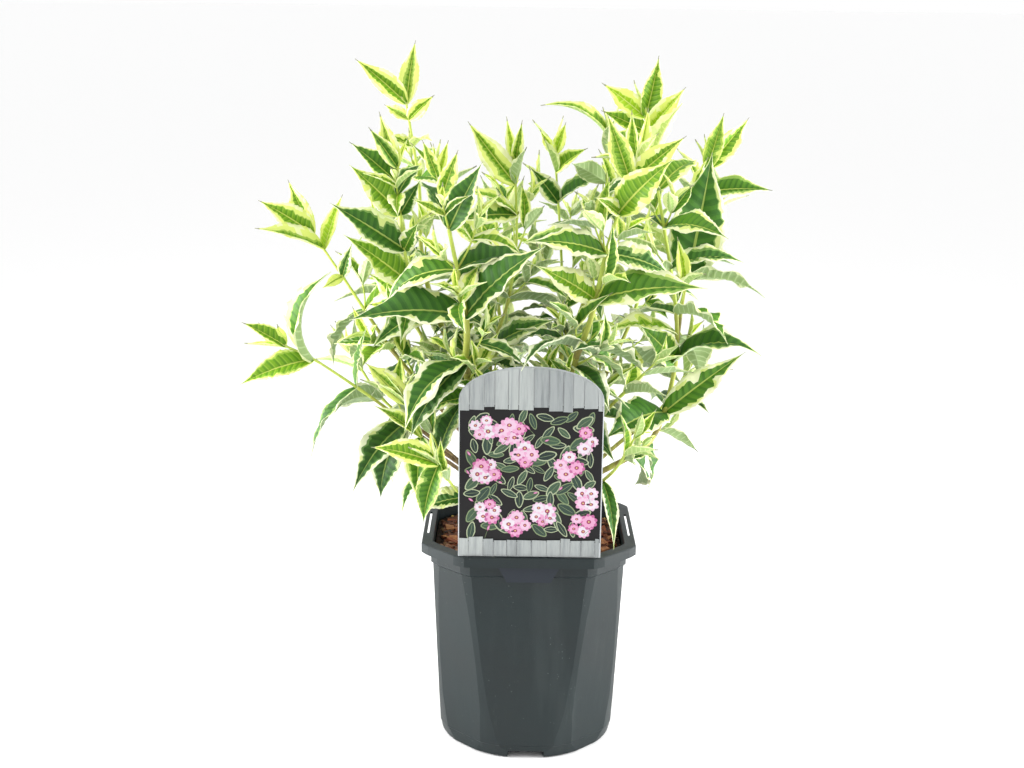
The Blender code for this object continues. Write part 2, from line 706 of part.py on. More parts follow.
def pot_body(z):
    """The body's outer section: a cone cut by eight flats that die out towards the foot."""
    foot = circle(0, FOOT_RADIUS)
    half = COLLAR_HALF - COLLAR_STEP
    top = cut_square(COLLAR_FOOT - COLLAR_STEP, half, CORNER_CUT * half / RIM_HALF)
    share = z / top.z
    return Section(z, *(mix(a, b, share) for a, b in zip(foot[1:], top[1:])))


def collar(z):
    return cut_square(z, COLLAR_HALF, CORNER_CUT * COLLAR_HALF / RIM_HALF)


def ring_points(section):
    """One turn of points, with a point at every crease where a flat meets the round."""
    flat = max(NARROWEST_FLAT, math.acos(min(1, section.flat / section.round)))
    slant = max(NARROWEST_FLAT, math.acos(min(1, section.diagonal / section.round)))
    eighth, quarter = math.pi / 4, math.pi / 2
    stops = ((-flat, flat, FLAT_STEPS), (flat, eighth - slant, ARC_STEPS),
             (eighth - slant, eighth + slant, CUT_STEPS), (eighth + slant, quarter - flat, ARC_STEPS))
    points = []
    for side in range(4):
        for first, last, steps in stops:
            for i in range(steps):
                angle = mix(first, last, i / steps)
                to_flat = min(abs(angle), abs(quarter - angle))
                reach = min(section.round, section.flat / math.cos(to_flat),
                            section.diagonal / math.cos(angle - eighth))
                turn = angle + side * quarter
                points.append(Vector((reach * math.cos(turn), reach * math.sin(turn), section.z)))
    return points


def loft(name, sections, collection, finish):
    """A closed solid through sections, from the first one's flat face to the last one's."""
    bm = bmesh.new()
    rings = [[bm.verts.new(p) for p in ring_points(s)] for s in sections]
    count = len(rings[0])
    for low, high in zip(rings, rings[1:]):
        for i in range(count):
            j = (i + 1) % count
            bm.faces.new((low[i], low[j], high[j], high[i]))
    bm.faces.new(list(reversed(rings[0])))
    bm.faces.new(rings[-1])
    mesh = bpy.data.meshes.new(name)
    bm.to_mesh(mesh)
    bm.free()
    return mesh_object(name, mesh, collection, finish)


def pot_sections():
    body_top = COLLAR_FOOT - COLLAR_STEP
    skirt_foot = POT_HEIGHT - SKIRT_HEIGHT
    rim = cut_square(POT_HEIGHT, RIM_HALF, CORNER_CUT)
    inside_floor = shrunk(pot_body(FLOOR_OVER), WALL + BAND_STEP)
    return [
        circle(0, PAD_RADIUS),
        circle(FLOOR_UNDER, PAD_RADIUS),
        circle(FLOOR_UNDER, FOOT_RADIUS - FOOT_RING),
        circle(0, FOOT_RADIUS - FOOT_RING),
        circle(0, FOOT_RADIUS - BAND_STEP - EDGE),
        shrunk(pot_body(EDGE), BAND_STEP),
        shrunk(pot_body(BAND_HEIGHT), BAND_STEP),
        pot_body(BAND_HEIGHT + EDGE),
        *[pot_body(z) for z in BODY_LEVELS],
        pot_body(body_top),
        collar(COLLAR_FOOT),
        collar(POT_HEIGHT - FLANGE),
        shrunk(rim, WALL, POT_HEIGHT - FLANGE),
        shrunk(rim, WALL, skirt_foot),
        shrunk(rim, 0, skirt_foot),
        shrunk(rim, 0, POT_HEIGHT - EDGE),
        shrunk(rim, EDGE),
        shrunk(collar(POT_HEIGHT), WALL - EDGE),
        shrunk(collar(POT_HEIGHT - EDGE), WALL),
        shrunk(collar(COLLAR_FOOT), WALL),
        shrunk(pot_body(body_top), WALL),
        *[shrunk(pot_body(z), WALL) for z in reversed(BODY_LEVELS)],
        shrunk(pot_body(BAND_HEIGHT + EDGE), WALL + BAND_STEP),
        inside_floor,
    ]


def make_pot(parts, finish):
    return loft("pot", pot_sections(), parts, finish)


def cut_pot(pot, cutters):
    """The drainage notches round the foot and the card slots in the rim."""
    for i in range(NOTCHES):
        place = Vector((FOOT_RADIUS, 0, 0.5 * NOTCH.z - EDGE))
        size = Vector((NOTCH.y, NOTCH.x, NOTCH.z + EDGE))
        box(f"notch_{i}", size, place, i * math.tau / NOTCHES, cutters)
    for i in range(4):
        place = Vector((SLOT_DISTANCE, 0, POT_HEIGHT))
        size = Vector((SLOT.y, SLOT.x, SLOT.z))
        box(f"slot_{i}", size, place, i * math.tau / 4, cutters)
    cut(pot, cutters)


def make_mix(parts, finish):
    inset = WALL + MIX_GAP
    sections = [
        shrunk(pot_body(FLOOR_OVER + GAP), inset + BAND_STEP),
        shrunk(pot_body(BAND_HEIGHT + EDGE), inset + BAND_STEP),
        *[shrunk(pot_body(z), inset) for z in BODY_LEVELS],
        shrunk(pot_body(COLLAR_FOOT - COLLAR_STEP), inset),
        shrunk(collar(COLLAR_FOOT), inset),
        shrunk(collar(MIX_EDGE_HEIGHT), inset),
        circle(MIX_EDGE_HEIGHT + 0.7 * MIX_MOUND, MIX_SHOULDER),
        circle(MIX_EDGE_HEIGHT + MIX_MOUND, 1.5 * TRUNK_FLARE),
    ]
    return loft("potting_mix", sections, parts, finish)


# Card

def card_outline():
    """The card's edge in its own plane: foot, tongue, side, arch and side."""
    foot = POT_HEIGHT + GAP
    edge = [(-CARD_HALF, foot), (-TONGUE_HALF, foot), (-TONGUE_HALF, TONGUE_BEND),
            (-TONGUE_FOOT_HALF, TONGUE_FOOT), (TONGUE_FOOT_HALF, TONGUE_FOOT),
            (TONGUE_HALF, TONGUE_BEND), (TONGUE_HALF, foot), (CARD_HALF, foot)]
    for i in range(ARCH_STEPS + 1):
        angle = math.pi * i / ARCH_STEPS
        edge.append((CARD_HALF * math.cos(angle),
                     CARD_SHOULDER + (CARD_TOP - CARD_SHOULDER) * math.sin(angle)))
    return edge


def make_card(parts, finish):
    curve = bpy.data.curves.new("plant_card", "CURVE")
    curve.dimensions = "2D"
    curve.fill_mode = "BOTH"
    curve.extrude = 0.5 * CARD_THICKNESS
    spline = curve.splines.new("POLY")
    edge = card_outline()
    spline.points.add(len(edge) - 1)
    for point, (x, z) in zip(spline.points, edge):
        point.co = (x, z, 0, 1)
    spline.use_cyclic_u = True
    shape = bpy.data.objects.new("plant_card", curve)
    parts.objects.link(shape)
    shape.rotation_euler = (math.pi / 2, 0, 0)
    shape.location = (0, -SLOT_DISTANCE, 0)
    bpy.context.view_layer.update()
    mesh = mesh_of(shape)
    bpy.data.objects.remove(shape)
    return mesh_object("plant_card", mesh, parts, finish)


# Trunk and masses

def make_trunk(parts, finish):
    """A flared stock from a flat cut on the mix to the rounded head."""
    foot = MIX_EDGE_HEIGHT + MIX_MOUND + GAP
    profile = [(TRUNK_FLARE, foot), (0.5 * (TRUNK_FLARE + TRUNK_WAIST), foot + FLARE_HEIGHT / 3),
               (TRUNK_WAIST, foot + FLARE_HEIGHT)]
    for i in range(HEAD_STEPS):
        angle = turned(mix(HEAD_FROM, 90, i / HEAD_STEPS))
        profile.append((HEAD_RADIUS * math.cos(angle), HEAD.z + HEAD_RADIUS * math.sin(angle)))
    bm = bmesh.new()
    rings = []
    for radius, z in profile:
        lean = min(1, (z - foot) / (profile[3][1] - foot))
        centre = Vector((HEAD.x * lean, HEAD.y * lean, z))
        rings.append([
            bm.verts.new(centre + Vector((math.cos(a), math.sin(a), 0)) * radius)
            for a in (k * math.tau / TRUNK_SIDES for k in range(TRUNK_SIDES))])
    for low, high in zip(rings, rings[1:]):
        for i in range(TRUNK_SIDES):
            j = (i + 1) % TRUNK_SIDES
            bm.faces.new((low[i], low[j], high[j], high[i]))
    bm.faces.new(list(reversed(rings[0])))
    top = bm.verts.new((HEAD.x, HEAD.y, HEAD.z + HEAD_RADIUS))
    for i in range(TRUNK_SIDES):
        bm.faces.new((rings[-1][i], rings[-1][(i + 1) % TRUNK_SIDES], top))
    mesh = bpy.data.meshes.new("trunk")
    bm.to_mesh(mesh)
    bm.free()
    return mesh_object("trunk", mesh, parts, finish)


def tree_of_object(obj):
    mesh = mesh_of(obj)
    points = [v.co.copy() for v in mesh.vertices]
    faces = [tuple(p.vertices) for p in mesh.polygons]
    bpy.data.meshes.remove(mesh)
    return tree_of(points, faces)


def fuse(name, pieces, parts, finish):
    """Joins the pieces of one mass into a single closed solid."""
    stem, rest = pieces[0], pieces[1:]
    helpers = new_collection(f"{name} pieces")
    for piece in rest:
        parts.objects.unlink(piece)
        helpers.objects.link(piece)
    modifier = stem.modifiers.new("join", "BOOLEAN")
    modifier.operation = "UNION"
    modifier.operand_type = "COLLECTION"
    modifier.collection = helpers
    modifier.solver = SOLVER
    mesh = mesh_of(stem, weld=False)
    for piece in list(helpers.objects) + [stem]:
        bpy.data.objects.remove(piece)
    bpy.data.collections.remove(helpers)
    mesh.name = name
    return mesh_object(name, mesh, parts, finish)


def blades(leaves, parts):
    return [object_of_faces("leaf", *leaf_faces(*leaf_rings(leaf)), parts) for leaf in leaves]


def make_masses(parts, growth, lines, finish):
    shoots = [(c, c.name, lines[c.name][1]) for c in CANES]
    shoots += [(f, f.on, fork_line(f, lines[f.on][1])) for f in FORKS]
    for spec, _, line in shoots:
        growth.placed.append(tree_of(*tube_faces(line, spec.girth * MM)))
    nodes = {spec.name: nodes_along(line, spec) for spec, _, line in shoots}
    shown = {}
    for (name, pair, side), reading in SHOWN.items():
        node = nodes[name][pair]
        shown[name, pair, side] = growth.first_clear(
            shown_tries(node.at, reading, node.grown, f"{name} shown {pair} {side}"))
    pieces = {c.name: [] for c in CANES}
    twigs = []
    for spec, mass, line in shoots:
        name = spec.name
        pieces[mass].append(limb(name, line, spec.girth * MM, TIP_RADIUS, parts))
        leaves, found = leaves_along(growth, name, nodes[name], shown)
        pieces[mass] += blades(leaves, parts)
        twigs += [(mass, spec.leaf, twig) for twig in found]
    for mass, leaf_length, twig in twigs:
        line, leaves = twig_with_leaves(growth, twig, leaf_length)
        if line:
            thin = TWIG_TIP * TWIG_RADIUS
            pieces[mass].append(limb(twig.name, line, TWIG_RADIUS, thin, parts, sides=0))
            pieces[mass] += blades(leaves, parts)
    for mass, found in pieces.items():
        fuse(f"foliage_{mass}", found, parts, finish)


def main():
    clear_scene()
    parts = new_collection("weigela")
    cutters = new_collection("cutters")
    bark = material("bark", BARK, 0.8)
    pot = make_pot(parts, material("pot", SLATE, 0.45))
    mix_solid = make_mix(parts, material("potting mix", SOIL, 0.95))
    card = make_card(parts, material("card", CARD, 0.4))
    trunk = make_trunk(parts, bark)
    lines = {cane.name: cane_lines(cane) for cane in CANES}
    boughs = [
        limb(f"bough_{c.name}", lines[c.name][0], BOUGH_FOOT * c.girth * MM, c.girth * MM, parts, bark)
        for c in CANES
    ]
    growth = Growth(tree_of_object(obj) for obj in [pot, mix_solid, card, trunk] + boughs)
    make_masses(parts, growth, lines, material("foliage", GREEN, 0.5))
    cut_pot(pot, cutters)


main()
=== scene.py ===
"""A variegated dwarf weigela in its nursery pot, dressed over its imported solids.

Metres, +Z up, the origin at the middle of the pot's flat underside, the card's face to -Y.
Canes, twigs and leaves grow by the same seeded rule as the solids, and on from there into
axil shoots. Every leaf is a thin closed blade, folded, quilted and toothed, and its colours
are dealt out face by face.
"""

import json
import math
import random
from collections import namedtuple

import bmesh
import bpy
from bpy.props import FloatProperty, FloatVectorProperty, PointerProperty
from mathutils import Matrix, Vector, noise
from mathutils.bvhtree import BVHTree

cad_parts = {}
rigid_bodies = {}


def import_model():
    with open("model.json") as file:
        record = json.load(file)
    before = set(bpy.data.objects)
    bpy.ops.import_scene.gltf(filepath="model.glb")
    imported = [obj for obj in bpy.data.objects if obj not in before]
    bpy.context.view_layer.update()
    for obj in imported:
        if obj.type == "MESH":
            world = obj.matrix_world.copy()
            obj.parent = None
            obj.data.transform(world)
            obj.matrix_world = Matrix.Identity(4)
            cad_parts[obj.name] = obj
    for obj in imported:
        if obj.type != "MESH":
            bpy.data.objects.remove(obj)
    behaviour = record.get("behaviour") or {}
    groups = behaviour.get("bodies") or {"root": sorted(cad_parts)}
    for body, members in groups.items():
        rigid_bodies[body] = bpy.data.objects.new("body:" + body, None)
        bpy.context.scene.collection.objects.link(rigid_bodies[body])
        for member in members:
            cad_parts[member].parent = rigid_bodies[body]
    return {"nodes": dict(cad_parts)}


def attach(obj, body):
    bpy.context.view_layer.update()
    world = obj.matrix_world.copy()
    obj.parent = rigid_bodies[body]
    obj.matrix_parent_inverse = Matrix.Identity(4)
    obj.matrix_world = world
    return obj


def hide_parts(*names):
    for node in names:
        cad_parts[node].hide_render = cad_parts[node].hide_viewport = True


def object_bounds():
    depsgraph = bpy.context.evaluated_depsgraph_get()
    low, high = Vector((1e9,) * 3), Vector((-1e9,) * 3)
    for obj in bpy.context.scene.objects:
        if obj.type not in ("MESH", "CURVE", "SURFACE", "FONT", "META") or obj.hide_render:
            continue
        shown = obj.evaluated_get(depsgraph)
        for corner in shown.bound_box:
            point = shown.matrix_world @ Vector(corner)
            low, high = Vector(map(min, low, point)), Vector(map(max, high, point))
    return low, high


bl_info = {
    "name": "Potted Weigela",
    "version": (1, 0, 0),
    "blender": (4, 5, 0),
    "location": "3D View > Sidebar > Weigela",
    "description": "Builds a variegated weigela in a nursery pot over its packed solids",
    "category": "Add Mesh",
}

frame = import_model()
CAD_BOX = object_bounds()

MM = 0.001
GAP = 0.3 * MM
WORLD_UP = Vector((0, 0, 1))

# The pot is square with cut corners at the rim and round at the foot.
POT_HEIGHT = 175 * MM
RIM_HALF = 85 * MM
CORNER_CUT = 32 * MM
FOOT_RADIUS = 70 * MM
WALL = 1.4 * MM
SOFT_CORNER = 0.985
SKIRT_HEIGHT = 8 * MM
FLANGE = 1.6 * MM
COLLAR_HALF = 77.6 * MM
FLAT_HOLD = 0.42
COLLAR_FOOT = 157.5 * MM
COLLAR_STEP = 1.6 * MM
BODY_LEVELS = (40 * MM, 80 * MM, 120 * MM)
BAND_HEIGHT = 10 * MM
BAND_STEP = 0.5 * MM
EDGE = 0.7 * MM
FLOOR_UNDER = 6.2 * MM
FLOOR_OVER = 7.8 * MM
FOOT_RING = 3.5 * MM
PAD_RADIUS = 15 * MM
# One drainage notch and one card slot in the middle of each side.
POT_SIDES = 4
FLAT_STEPS, ARC_STEPS, CUT_STEPS = 8, 8, 6
NARROWEST_FLAT = math.radians(3)
NOTCH = Vector((29 * MM, 10 * MM, 6 * MM))
SLOT_DISTANCE = 81 * MM
SLOT = Vector((54 * MM, 1.8 * MM, 10 * MM))

# The potting mix, mounded a little towards the trunk.
MIX_GAP = 0.9 * MM
MIX_EDGE_HEIGHT = 161.5 * MM
MIX_MOUND = 1.5 * MM

# The card and the tongue that holds it in the front slot.
CARD_THICKNESS = 0.9 * MM
CARD_HALF = 55 * MM
CARD_SHOULDER = 300 * MM
CARD_TOP = 326 * MM
ARCH_STEPS = 20
TONGUE_HALF = 25 * MM
TONGUE_FOOT_HALF = 17 * MM
TONGUE_BEND = 168 * MM
TONGUE_FOOT = 154 * MM

# The woody trunk ends in a rounded head that the canes leave.
TRUNK_FLARE = 17 * MM
TRUNK_WAIST = 11.5 * MM
FLARE_HEIGHT = 9 * MM
HEAD_RADIUS = 14 * MM
HEAD = Vector((1.5 * MM, 1 * MM, 189 * MM))
LEAD_OUT = 2.4 * HEAD_RADIUS
BOUGH_FOOT = 1.15

# Twigs, leaves and how they keep clear of each other.
CURVE_STEP = 17 * MM
TIP_RADIUS = 0.8 * MM
TWIG_RADIUS = 0.9 * MM
TWIG_SHARE = 0.4
TWIGS_FROM = 0.7
TWIG_REACH = (16, 30)
TWIG_SPREAD = 38
TWIG_RISE = 0.35
TWIG_TIP = 0.8
TWIG_LEAF = 0.62
TWIG_LEAF_AGE = 0.2
LEAF_STATIONS = (0.28, 0.66)
SMALL_LEAF_STATIONS = (0.42,)
SMALL_LEAF = 38 * MM
LEAF_THICKNESS = 1 / 50
LEAF_BELLY = 0.72
LEAF_POINT = 1.12
ROOT_DEPTH = 0.55
LEAST_ROOT_ANGLE = 0.35
CLEAR_OF_STEM = 0.14
CLEAR_OF_LEAF = 0.4 * MM
BEARING_TRIES = (0, 14, -14, 28, -28, 42, -42)
LENGTH_TRIES = (1.0, 0.82)
NUDGES = ((0, 0), (0, -7), (0, 7), (6, 0), (-6, 0), (0, -15), (0, 15), (10, -8), (-10, 8))
FIRST_PAIR = 0.06
LAST_PAIR = 0.995
BUD_LEAF = 0.55
# The pairs stand closer together towards the tip.
PAIR_CROWDING = 1.45
GROWN_OVER = 70 * MM
LENGTH_LEAD = 1.6

# One cane: where it leaves the trunk's head (azimuth and elevation in degrees), its
# route in millimetres with its bough ending at the first point, its radius there, and
# its leaves: pairs, length of a grown leaf and bearing of the first pair.
Cane = namedtuple("Cane", "name leaves_at route girth pairs leaf bearing")
CANES = tuple(Cane(*row) for row in (
    ("low_left", (196, 30), ((-88, -18, 254), (-120, -35, 285), (-166, -50, 321), (-190, -52, 333)),
     1.5, 4, 66, 60),
    ("left", (163, 42), ((-102, 16, 302), (-129, 22, 338), (-151, 28, 370), (-177, 30, 408)), 1.7, 5, 62, 80),
    ("front_left", (238, 56), ((-48, -45, 302), (-50, -62, 355), (-62, -68, 420), (-72, -70, 466)),
     3.0, 6, 76, 10),
    ("upper_left", (178, 68), ((-69, 10, 330), (-88, 19, 390), (-91, 20, 450), (-101, 20, 514)),
     2.4, 7, 60, 20),
    ("centre", (118, 66), ((-33, 30, 297), (-20, 36, 350), (-13, 40, 400), (-15, 40, 464)), 1.7, 6, 64, 95),
    ("right_back", (55, 66), ((24, 44, 300), (42, 54, 345), (57, 60, 410), (62, 62, 484)), 2.2, 7, 66, 0),
    ("front_right", (300, 64), ((31, -45, 315), (45, -55, 360), (57, -60, 420), (76, -62, 478)),
     2.6, 6, 74, 30),
    ("right", (0, 30),
     ((62, 0, 222), (98, 0, 247), (113, 0, 292), (116, 0, 340), (107, 0, 400), (85, 0, 508)),
     2.4, 10, 66, 40),
    ("low_front_left", (224, 24), ((-62, -44, 238), (-84, -60, 262), (-96, -66, 292)), 1.5, 4, 56, 50),
    ("rim_left", (250, 20), ((-40, -60, 214), (-56, -76, 226), (-70, -86, 250)), 1.3, 3, 52, 0),
    ("low_front_right", (318, 22), ((50, -46, 222), (66, -60, 240), (80, -66, 268)), 1.3, 3, 52, 40),
    ("low_right", (335, 48), ((48, -20, 262), (72, -28, 292), (96, -32, 318)), 1.6, 4, 56, 20),
    ("back_left", (130, 36), ((-72, 76, 282), (-106, 96, 336), (-126, 104, 396)), 1.9, 6, 64, 30),
    ("back_left_low", (155, 16), ((-84, 44, 236), (-124, 64, 262), (-152, 74, 300)), 1.6, 4, 60, 0),
    ("back", (100, 48), ((-18, 88, 292), (-30, 116, 350), (-30, 126, 420)), 2.0, 6, 66, 60),
    ("back_right", (50, 42), ((66, 78, 286), (92, 102, 342), (104, 110, 404)), 1.9, 6, 64, 10),
    ("back_low", (78, 20), ((30, 84, 234), (40, 122, 262), (42, 142, 302)), 1.6, 4, 60, 70),
    ("right_back_low", (25, 22), ((76, 40, 234), (114, 60, 262), (140, 70, 300)), 1.6, 4, 60, 20),
))

# A fork leaves its cane's stem at a share of the stem's length.
Fork = namedtuple("Fork", "name on at route girth pairs leaf bearing")
FORKS = tuple(Fork(*row) for row in (
    ("upper_left_inner", "upper_left", 0.10, ((-88, -14, 362), (-99, -32, 405), (-104, -38, 470)),
     1.6, 6, 62, 0),
    ("centre_back", "right_back", 0.04, ((27, 70, 345), (24, 84, 400), (18, 88, 470)), 1.5, 6, 58, 70),
    ("far_right", "right", 0.39, ((124, 28, 366), (136, 52, 408), (142, 62, 462)), 1.7, 5, 68, 60),
))

# Leaves that are placed singly, by shoot: pair and side, the tip in millimetres, the bend
# in degrees, where the upper face looks (azimuth and elevation), and the width as a share
# of the length.
SHOWN = {
    "low_left": (
        (3, 0, -223, -56, 352, 20, 270, 50, 0.40), (3, 1, -198, -40, 348, 10, 270, 30, 0.40),
        (2, 0, -152, -62, 392, 100, 205, 15, 0.44), (2, 1, -224, -66, 307, 30, 270, 50, 0.40),
        (1, 0, -128, -32, 346, 25, 200, 10, 0.28), (1, 1, -171, -55, 245, 50, 210, 50, 0.28),
        (0, 0, -140, -70, 222, 50, 250, 40, 0.38), (0, 1, -116, -80, 286, 30, 265, 50, 0.45),
    ),
    "left": (
        (4, 0, -220, 26, 437, 15, 270, 40, 0.45), (4, 1, -200, 34, 450, 10, 265, 20, 0.36),
        (3, 0, -219, 12, 416, 20, 270, 55, 0.40), (3, 1, -153, 34, 440, 15, 235, 0, 0.30),
        (2, 0, -144, 20, 402, 20, 255, 5, 0.40), (2, 1, -168, 14, 366, 15, 270, 30, 0.45),
    ),
    "front_left": (
        (0, 0, -92, -84, 268, 60, 250, 60, 0.34), (0, 1, -62, -90, 256, 60, 290, 40, 0.30),
        (1, 0, -138, -85, 360, 45, 262, 50, 0.42), (1, 1, 8, -88, 422, 30, 265, 50, 0.40),
        (3, 0, -39, -74, 480, 12, 260, 10, 0.38), (3, 1, -74, -92, 464, 20, 80, 5, 0.44),
        (4, 0, -94, -66, 492, 15, 255, 15, 0.38), (4, 1, -57, -84, 488, 15, 280, 15, 0.36),
        (5, 0, -65, -70, 494, 8, 270, 0, 0.30), (5, 1, -82, -76, 495, 8, 270, 0, 0.32),
    ),
    "upper_left": (
        (6, 0, -140, 14, 549, 15, 270, 30, 0.38), (6, 1, -96, 20, 563, 10, 270, 5, 0.34),
        (5, 0, -78, 12, 521, 20, 270, 20, 0.50), (5, 1, -120, 22, 521, 15, 270, 30, 0.42),
        (4, 0, -80, -2, 487, 60, 300, 40, 0.50), (4, 1, -118, 10, 499, 20, 270, 40, 0.46),
    ),
    "upper_left_inner": (
        (5, 0, -117, -38, 512, 15, 265, 10, 0.36), (5, 1, -125, -46, 500, 15, 265, 35, 0.36),
        (4, 0, -141, -46, 488, 20, 265, 40, 0.40), (3, 0, -139, -60, 472, 25, 265, 30, 0.44),
        (3, 1, -86, -46, 461, 20, 275, 15, 0.44), (2, 0, -155, -52, 442, 20, 265, 35, 0.42),
        (2, 1, -87, -52, 430, 20, 270, 20, 0.44), (1, 0, -147, -50, 416, 25, 265, 40, 0.42),
    ),
    "centre": (
        (5, 0, -22, 40, 504, 8, 270, 5, 0.26), (5, 1, -10, 38, 502, 8, 270, 5, 0.26),
        (4, 0, -55, 36, 498, 20, 260, 20, 0.38), (4, 1, 8, 40, 522, 15, 275, 15, 0.34),
        (3, 0, -61, 16, 420, 35, 265, 45, 0.44), (2, 0, -43, 4, 380, 30, 265, 40, 0.44),
        (0, 0, 20, 0, 344, 30, 270, 50, 0.40),
    ),
    "centre_back": (
        (5, 0, 5, 86, 490, 10, 270, 10, 0.40), (5, 1, 28, 86, 496, 10, 270, 10, 0.40),
        (4, 0, 45, 76, 476, 30, 270, 40, 0.50), (3, 1, -3, 76, 461, 20, 265, 30, 0.44),
    ),
    "right_back": (
        (6, 0, 5, 62, 512, 75, 330, 50, 0.32), (4, 0, 31, 36, 468, 25, 80, 0, 0.44),
    ),
    "front_right": (
        (4, 0, 53, -66, 514, 20, 260, 15, 0.36), (4, 1, 110, -64, 500, 25, 280, 20, 0.38),
        (3, 0, 99, -84, 485, 30, 275, 35, 0.46), (3, 1, 44, -84, 455, 20, 260, 30, 0.42),
        (2, 0, -5, -82, 422, 35, 262, 45, 0.40), (2, 1, 106, -42, 392, 35, 285, 45, 0.44),
        (1, 0, 130, -84, 392, 40, 272, 50, 0.42), (1, 1, 0, -78, 405, 25, 265, 35, 0.38),
        (0, 0, 78, -80, 361, 35, 272, 45, 0.44),
    ),
    "right": (
        (9, 0, 51, -6, 534, 20, 265, 15, 0.42), (9, 1, 96, 2, 554, 12, 275, 5, 0.38),
        (8, 0, 116, -4, 530, 20, 275, 30, 0.40), (8, 1, 50, -8, 510, 20, 265, 30, 0.42),
        (2, 0, 182, -24, 327, 90, 280, 70, 0.44), (2, 1, 84, -24, 350, 30, 265, 30, 0.44),
        (1, 0, 168, -20, 330, 15, 280, 30, 0.28), (1, 1, 57, -60, 264, 40, 260, 50, 0.46),
        (0, 1, 80, -60, 282, 20, 280, 30, 0.40),
    ),
    "far_right": (
        (4, 0, 156, 58, 507, 15, 260, 10, 0.34), (4, 1, 177, 66, 503, 15, 280, 15, 0.34),
        (3, 0, 195, 50, 447, 25, 280, 40, 0.40), (1, 0, 146, 30, 478, 25, 262, 15, 0.42),
    ),
    "low_front_left": (
        (3, 0, -131, -46, 319, 25, 265, 50, 0.42), (2, 1, -75, -84, 306, 40, 270, 40, 0.42),
        (1, 1, -86, -92, 221, 50, 265, 40, 0.42),
    ),
    "rim_left": (
        (2, 0, -83, -97, 207, 60, 262, 40, 0.44), (2, 1, -122, -88, 262, 40, 255, 50, 0.44),
    ),
    "low_front_right": (
        (0, 0, 64, -94, 186, 60, 290, 40, 0.20),
    ),
}

Leaf = namedtuple("Leaf", "base along up length width fold curl sway twist grown")


# Growth, by the rule of the solids

def turned(degrees):
    return math.radians(degrees)


def mix(low, high, share):
    return low + (high - low) * share


def smooth_through(points, step):
    """Points about a step apart on a Catmull-Rom curve through the given points."""
    padded = [2 * points[0] - points[1]] + points + [2 * points[-1] - points[-2]]
    found = [points[0].copy()]
    for before, start, end, after in zip(padded, padded[1:], padded[2:], padded[3:]):
        count = max(1, round((end - start).length / step))
        for i in range(1, count + 1):
            t = i / count
            found.append(
                0.5 * (2 * start + (end - before) * t
                       + (2 * before - 5 * start + 4 * end - after) * t ** 2
                       + (3 * start - before - 3 * end + after) * t ** 3)
            )
    return found


def lengths_along(points):
    run = [0.0]
    for a, b in zip(points, points[1:]):
        run.append(run[-1] + (b - a).length)
    return run


def point_at(points, run, distance):
    """The point and the tangent at a distance along a line of points."""
    for i in range(1, len(points)):
        if distance <= run[i] or i == len(points) - 1:
            share = (distance - run[i - 1]) / (run[i] - run[i - 1])
            return points[i - 1].lerp(points[i], share), (points[i] - points[i - 1]).normalized()


def stretch(points, first, last):
    """The part of a line of points between two distances along it."""
    run = lengths_along(points)
    kept = [p for p, d in zip(points, run) if first + 2 * MM < d < last - 2 * MM]
    return [point_at(points, run, first)[0]] + kept + [point_at(points, run, last)[0]]


def in_metres(route):
    return [Vector(p) * MM for p in route]


def direction(azimuth, elevation):
    flat = math.cos(turned(elevation))
    return Vector((
        flat * math.cos(turned(azimuth)),
        flat * math.sin(turned(azimuth)),
        math.sin(turned(elevation)),
    ))


def cane_lines(cane):
    """The bough's line and the stem's line, one after the other on the same curve."""
    start = HEAD + direction(*cane.leaves_at) * (HEAD_RADIUS + GAP)
    lead = HEAD + direction(*cane.leaves_at) * LEAD_OUT
    through = [start, lead] + in_metres(cane.route)
    line = smooth_through(through, CURVE_STEP)
    run = lengths_along(line)
    tip_of_bough = in_metres(cane.route)[0]
    nearest = min(range(len(line) - 1), key=lambda i: (line[i] - tip_of_bough).length)
    join = 0.5 * (run[nearest] + run[nearest + 1])
    return stretch(line, 0, join), stretch(line, join + GAP, run[-1])


def fork_line(fork, stem):
    run = lengths_along(stem)
    root = point_at(stem, run, fork.at * run[-1])[0]
    return smooth_through([root] + in_metres(fork.route), CURVE_STEP)


def outward(tangent, angle):
    """A direction square to a stem: angle 0 is towards +X, and a quarter turn on is 90 degrees."""
    east = Vector((1, 0, 0)) - tangent * tangent.x
    if east.length < 0.2:
        east = Vector((0, 1, 0)) - tangent * tangent.y
    east.normalize()
    return east * math.cos(angle) + tangent.cross(east) * math.sin(angle)


def foot_of(stem_point, along, tangent, radius):
    """Where a leaf starts, past the middle of its stem."""
    steepness = max(LEAST_ROOT_ANGLE, along.cross(tangent).length)
    return stem_point - along * (ROOT_DEPTH * radius / steepness)


def rule_leaf(node, bearing, grown, length, rng):
    """A leaf set by its node's age: grown runs from 0 in the bud to 1 on old wood."""
    stem_point, tangent, radius = node
    angle = turned(mix(16, 74, grown) + rng.uniform(-9, 9))
    along = tangent * math.cos(angle) + outward(tangent, turned(bearing)) * math.sin(angle)
    facing = tangent.lerp(WORLD_UP, 0.45 * grown)
    up = (facing - along * facing.dot(along)).normalized()
    roll = Matrix.Rotation(turned(rng.uniform(-34, 34)), 3, along)
    return Leaf(
        base=foot_of(stem_point, along, tangent, radius),
        along=along,
        up=roll @ up,
        length=length * rng.uniform(0.9, 1.1),
        width=length * mix(0.30, 0.45, grown) * rng.uniform(0.9, 1.08),
        fold=turned(mix(40, 18, grown) + rng.uniform(-6, 6)),
        curl=turned(mix(8, 58, grown) + rng.uniform(-16, 16)),
        sway=rng.uniform(-0.09, 0.09),
        twist=turned(rng.uniform(-28, 28)),
        grown=grown,
    )


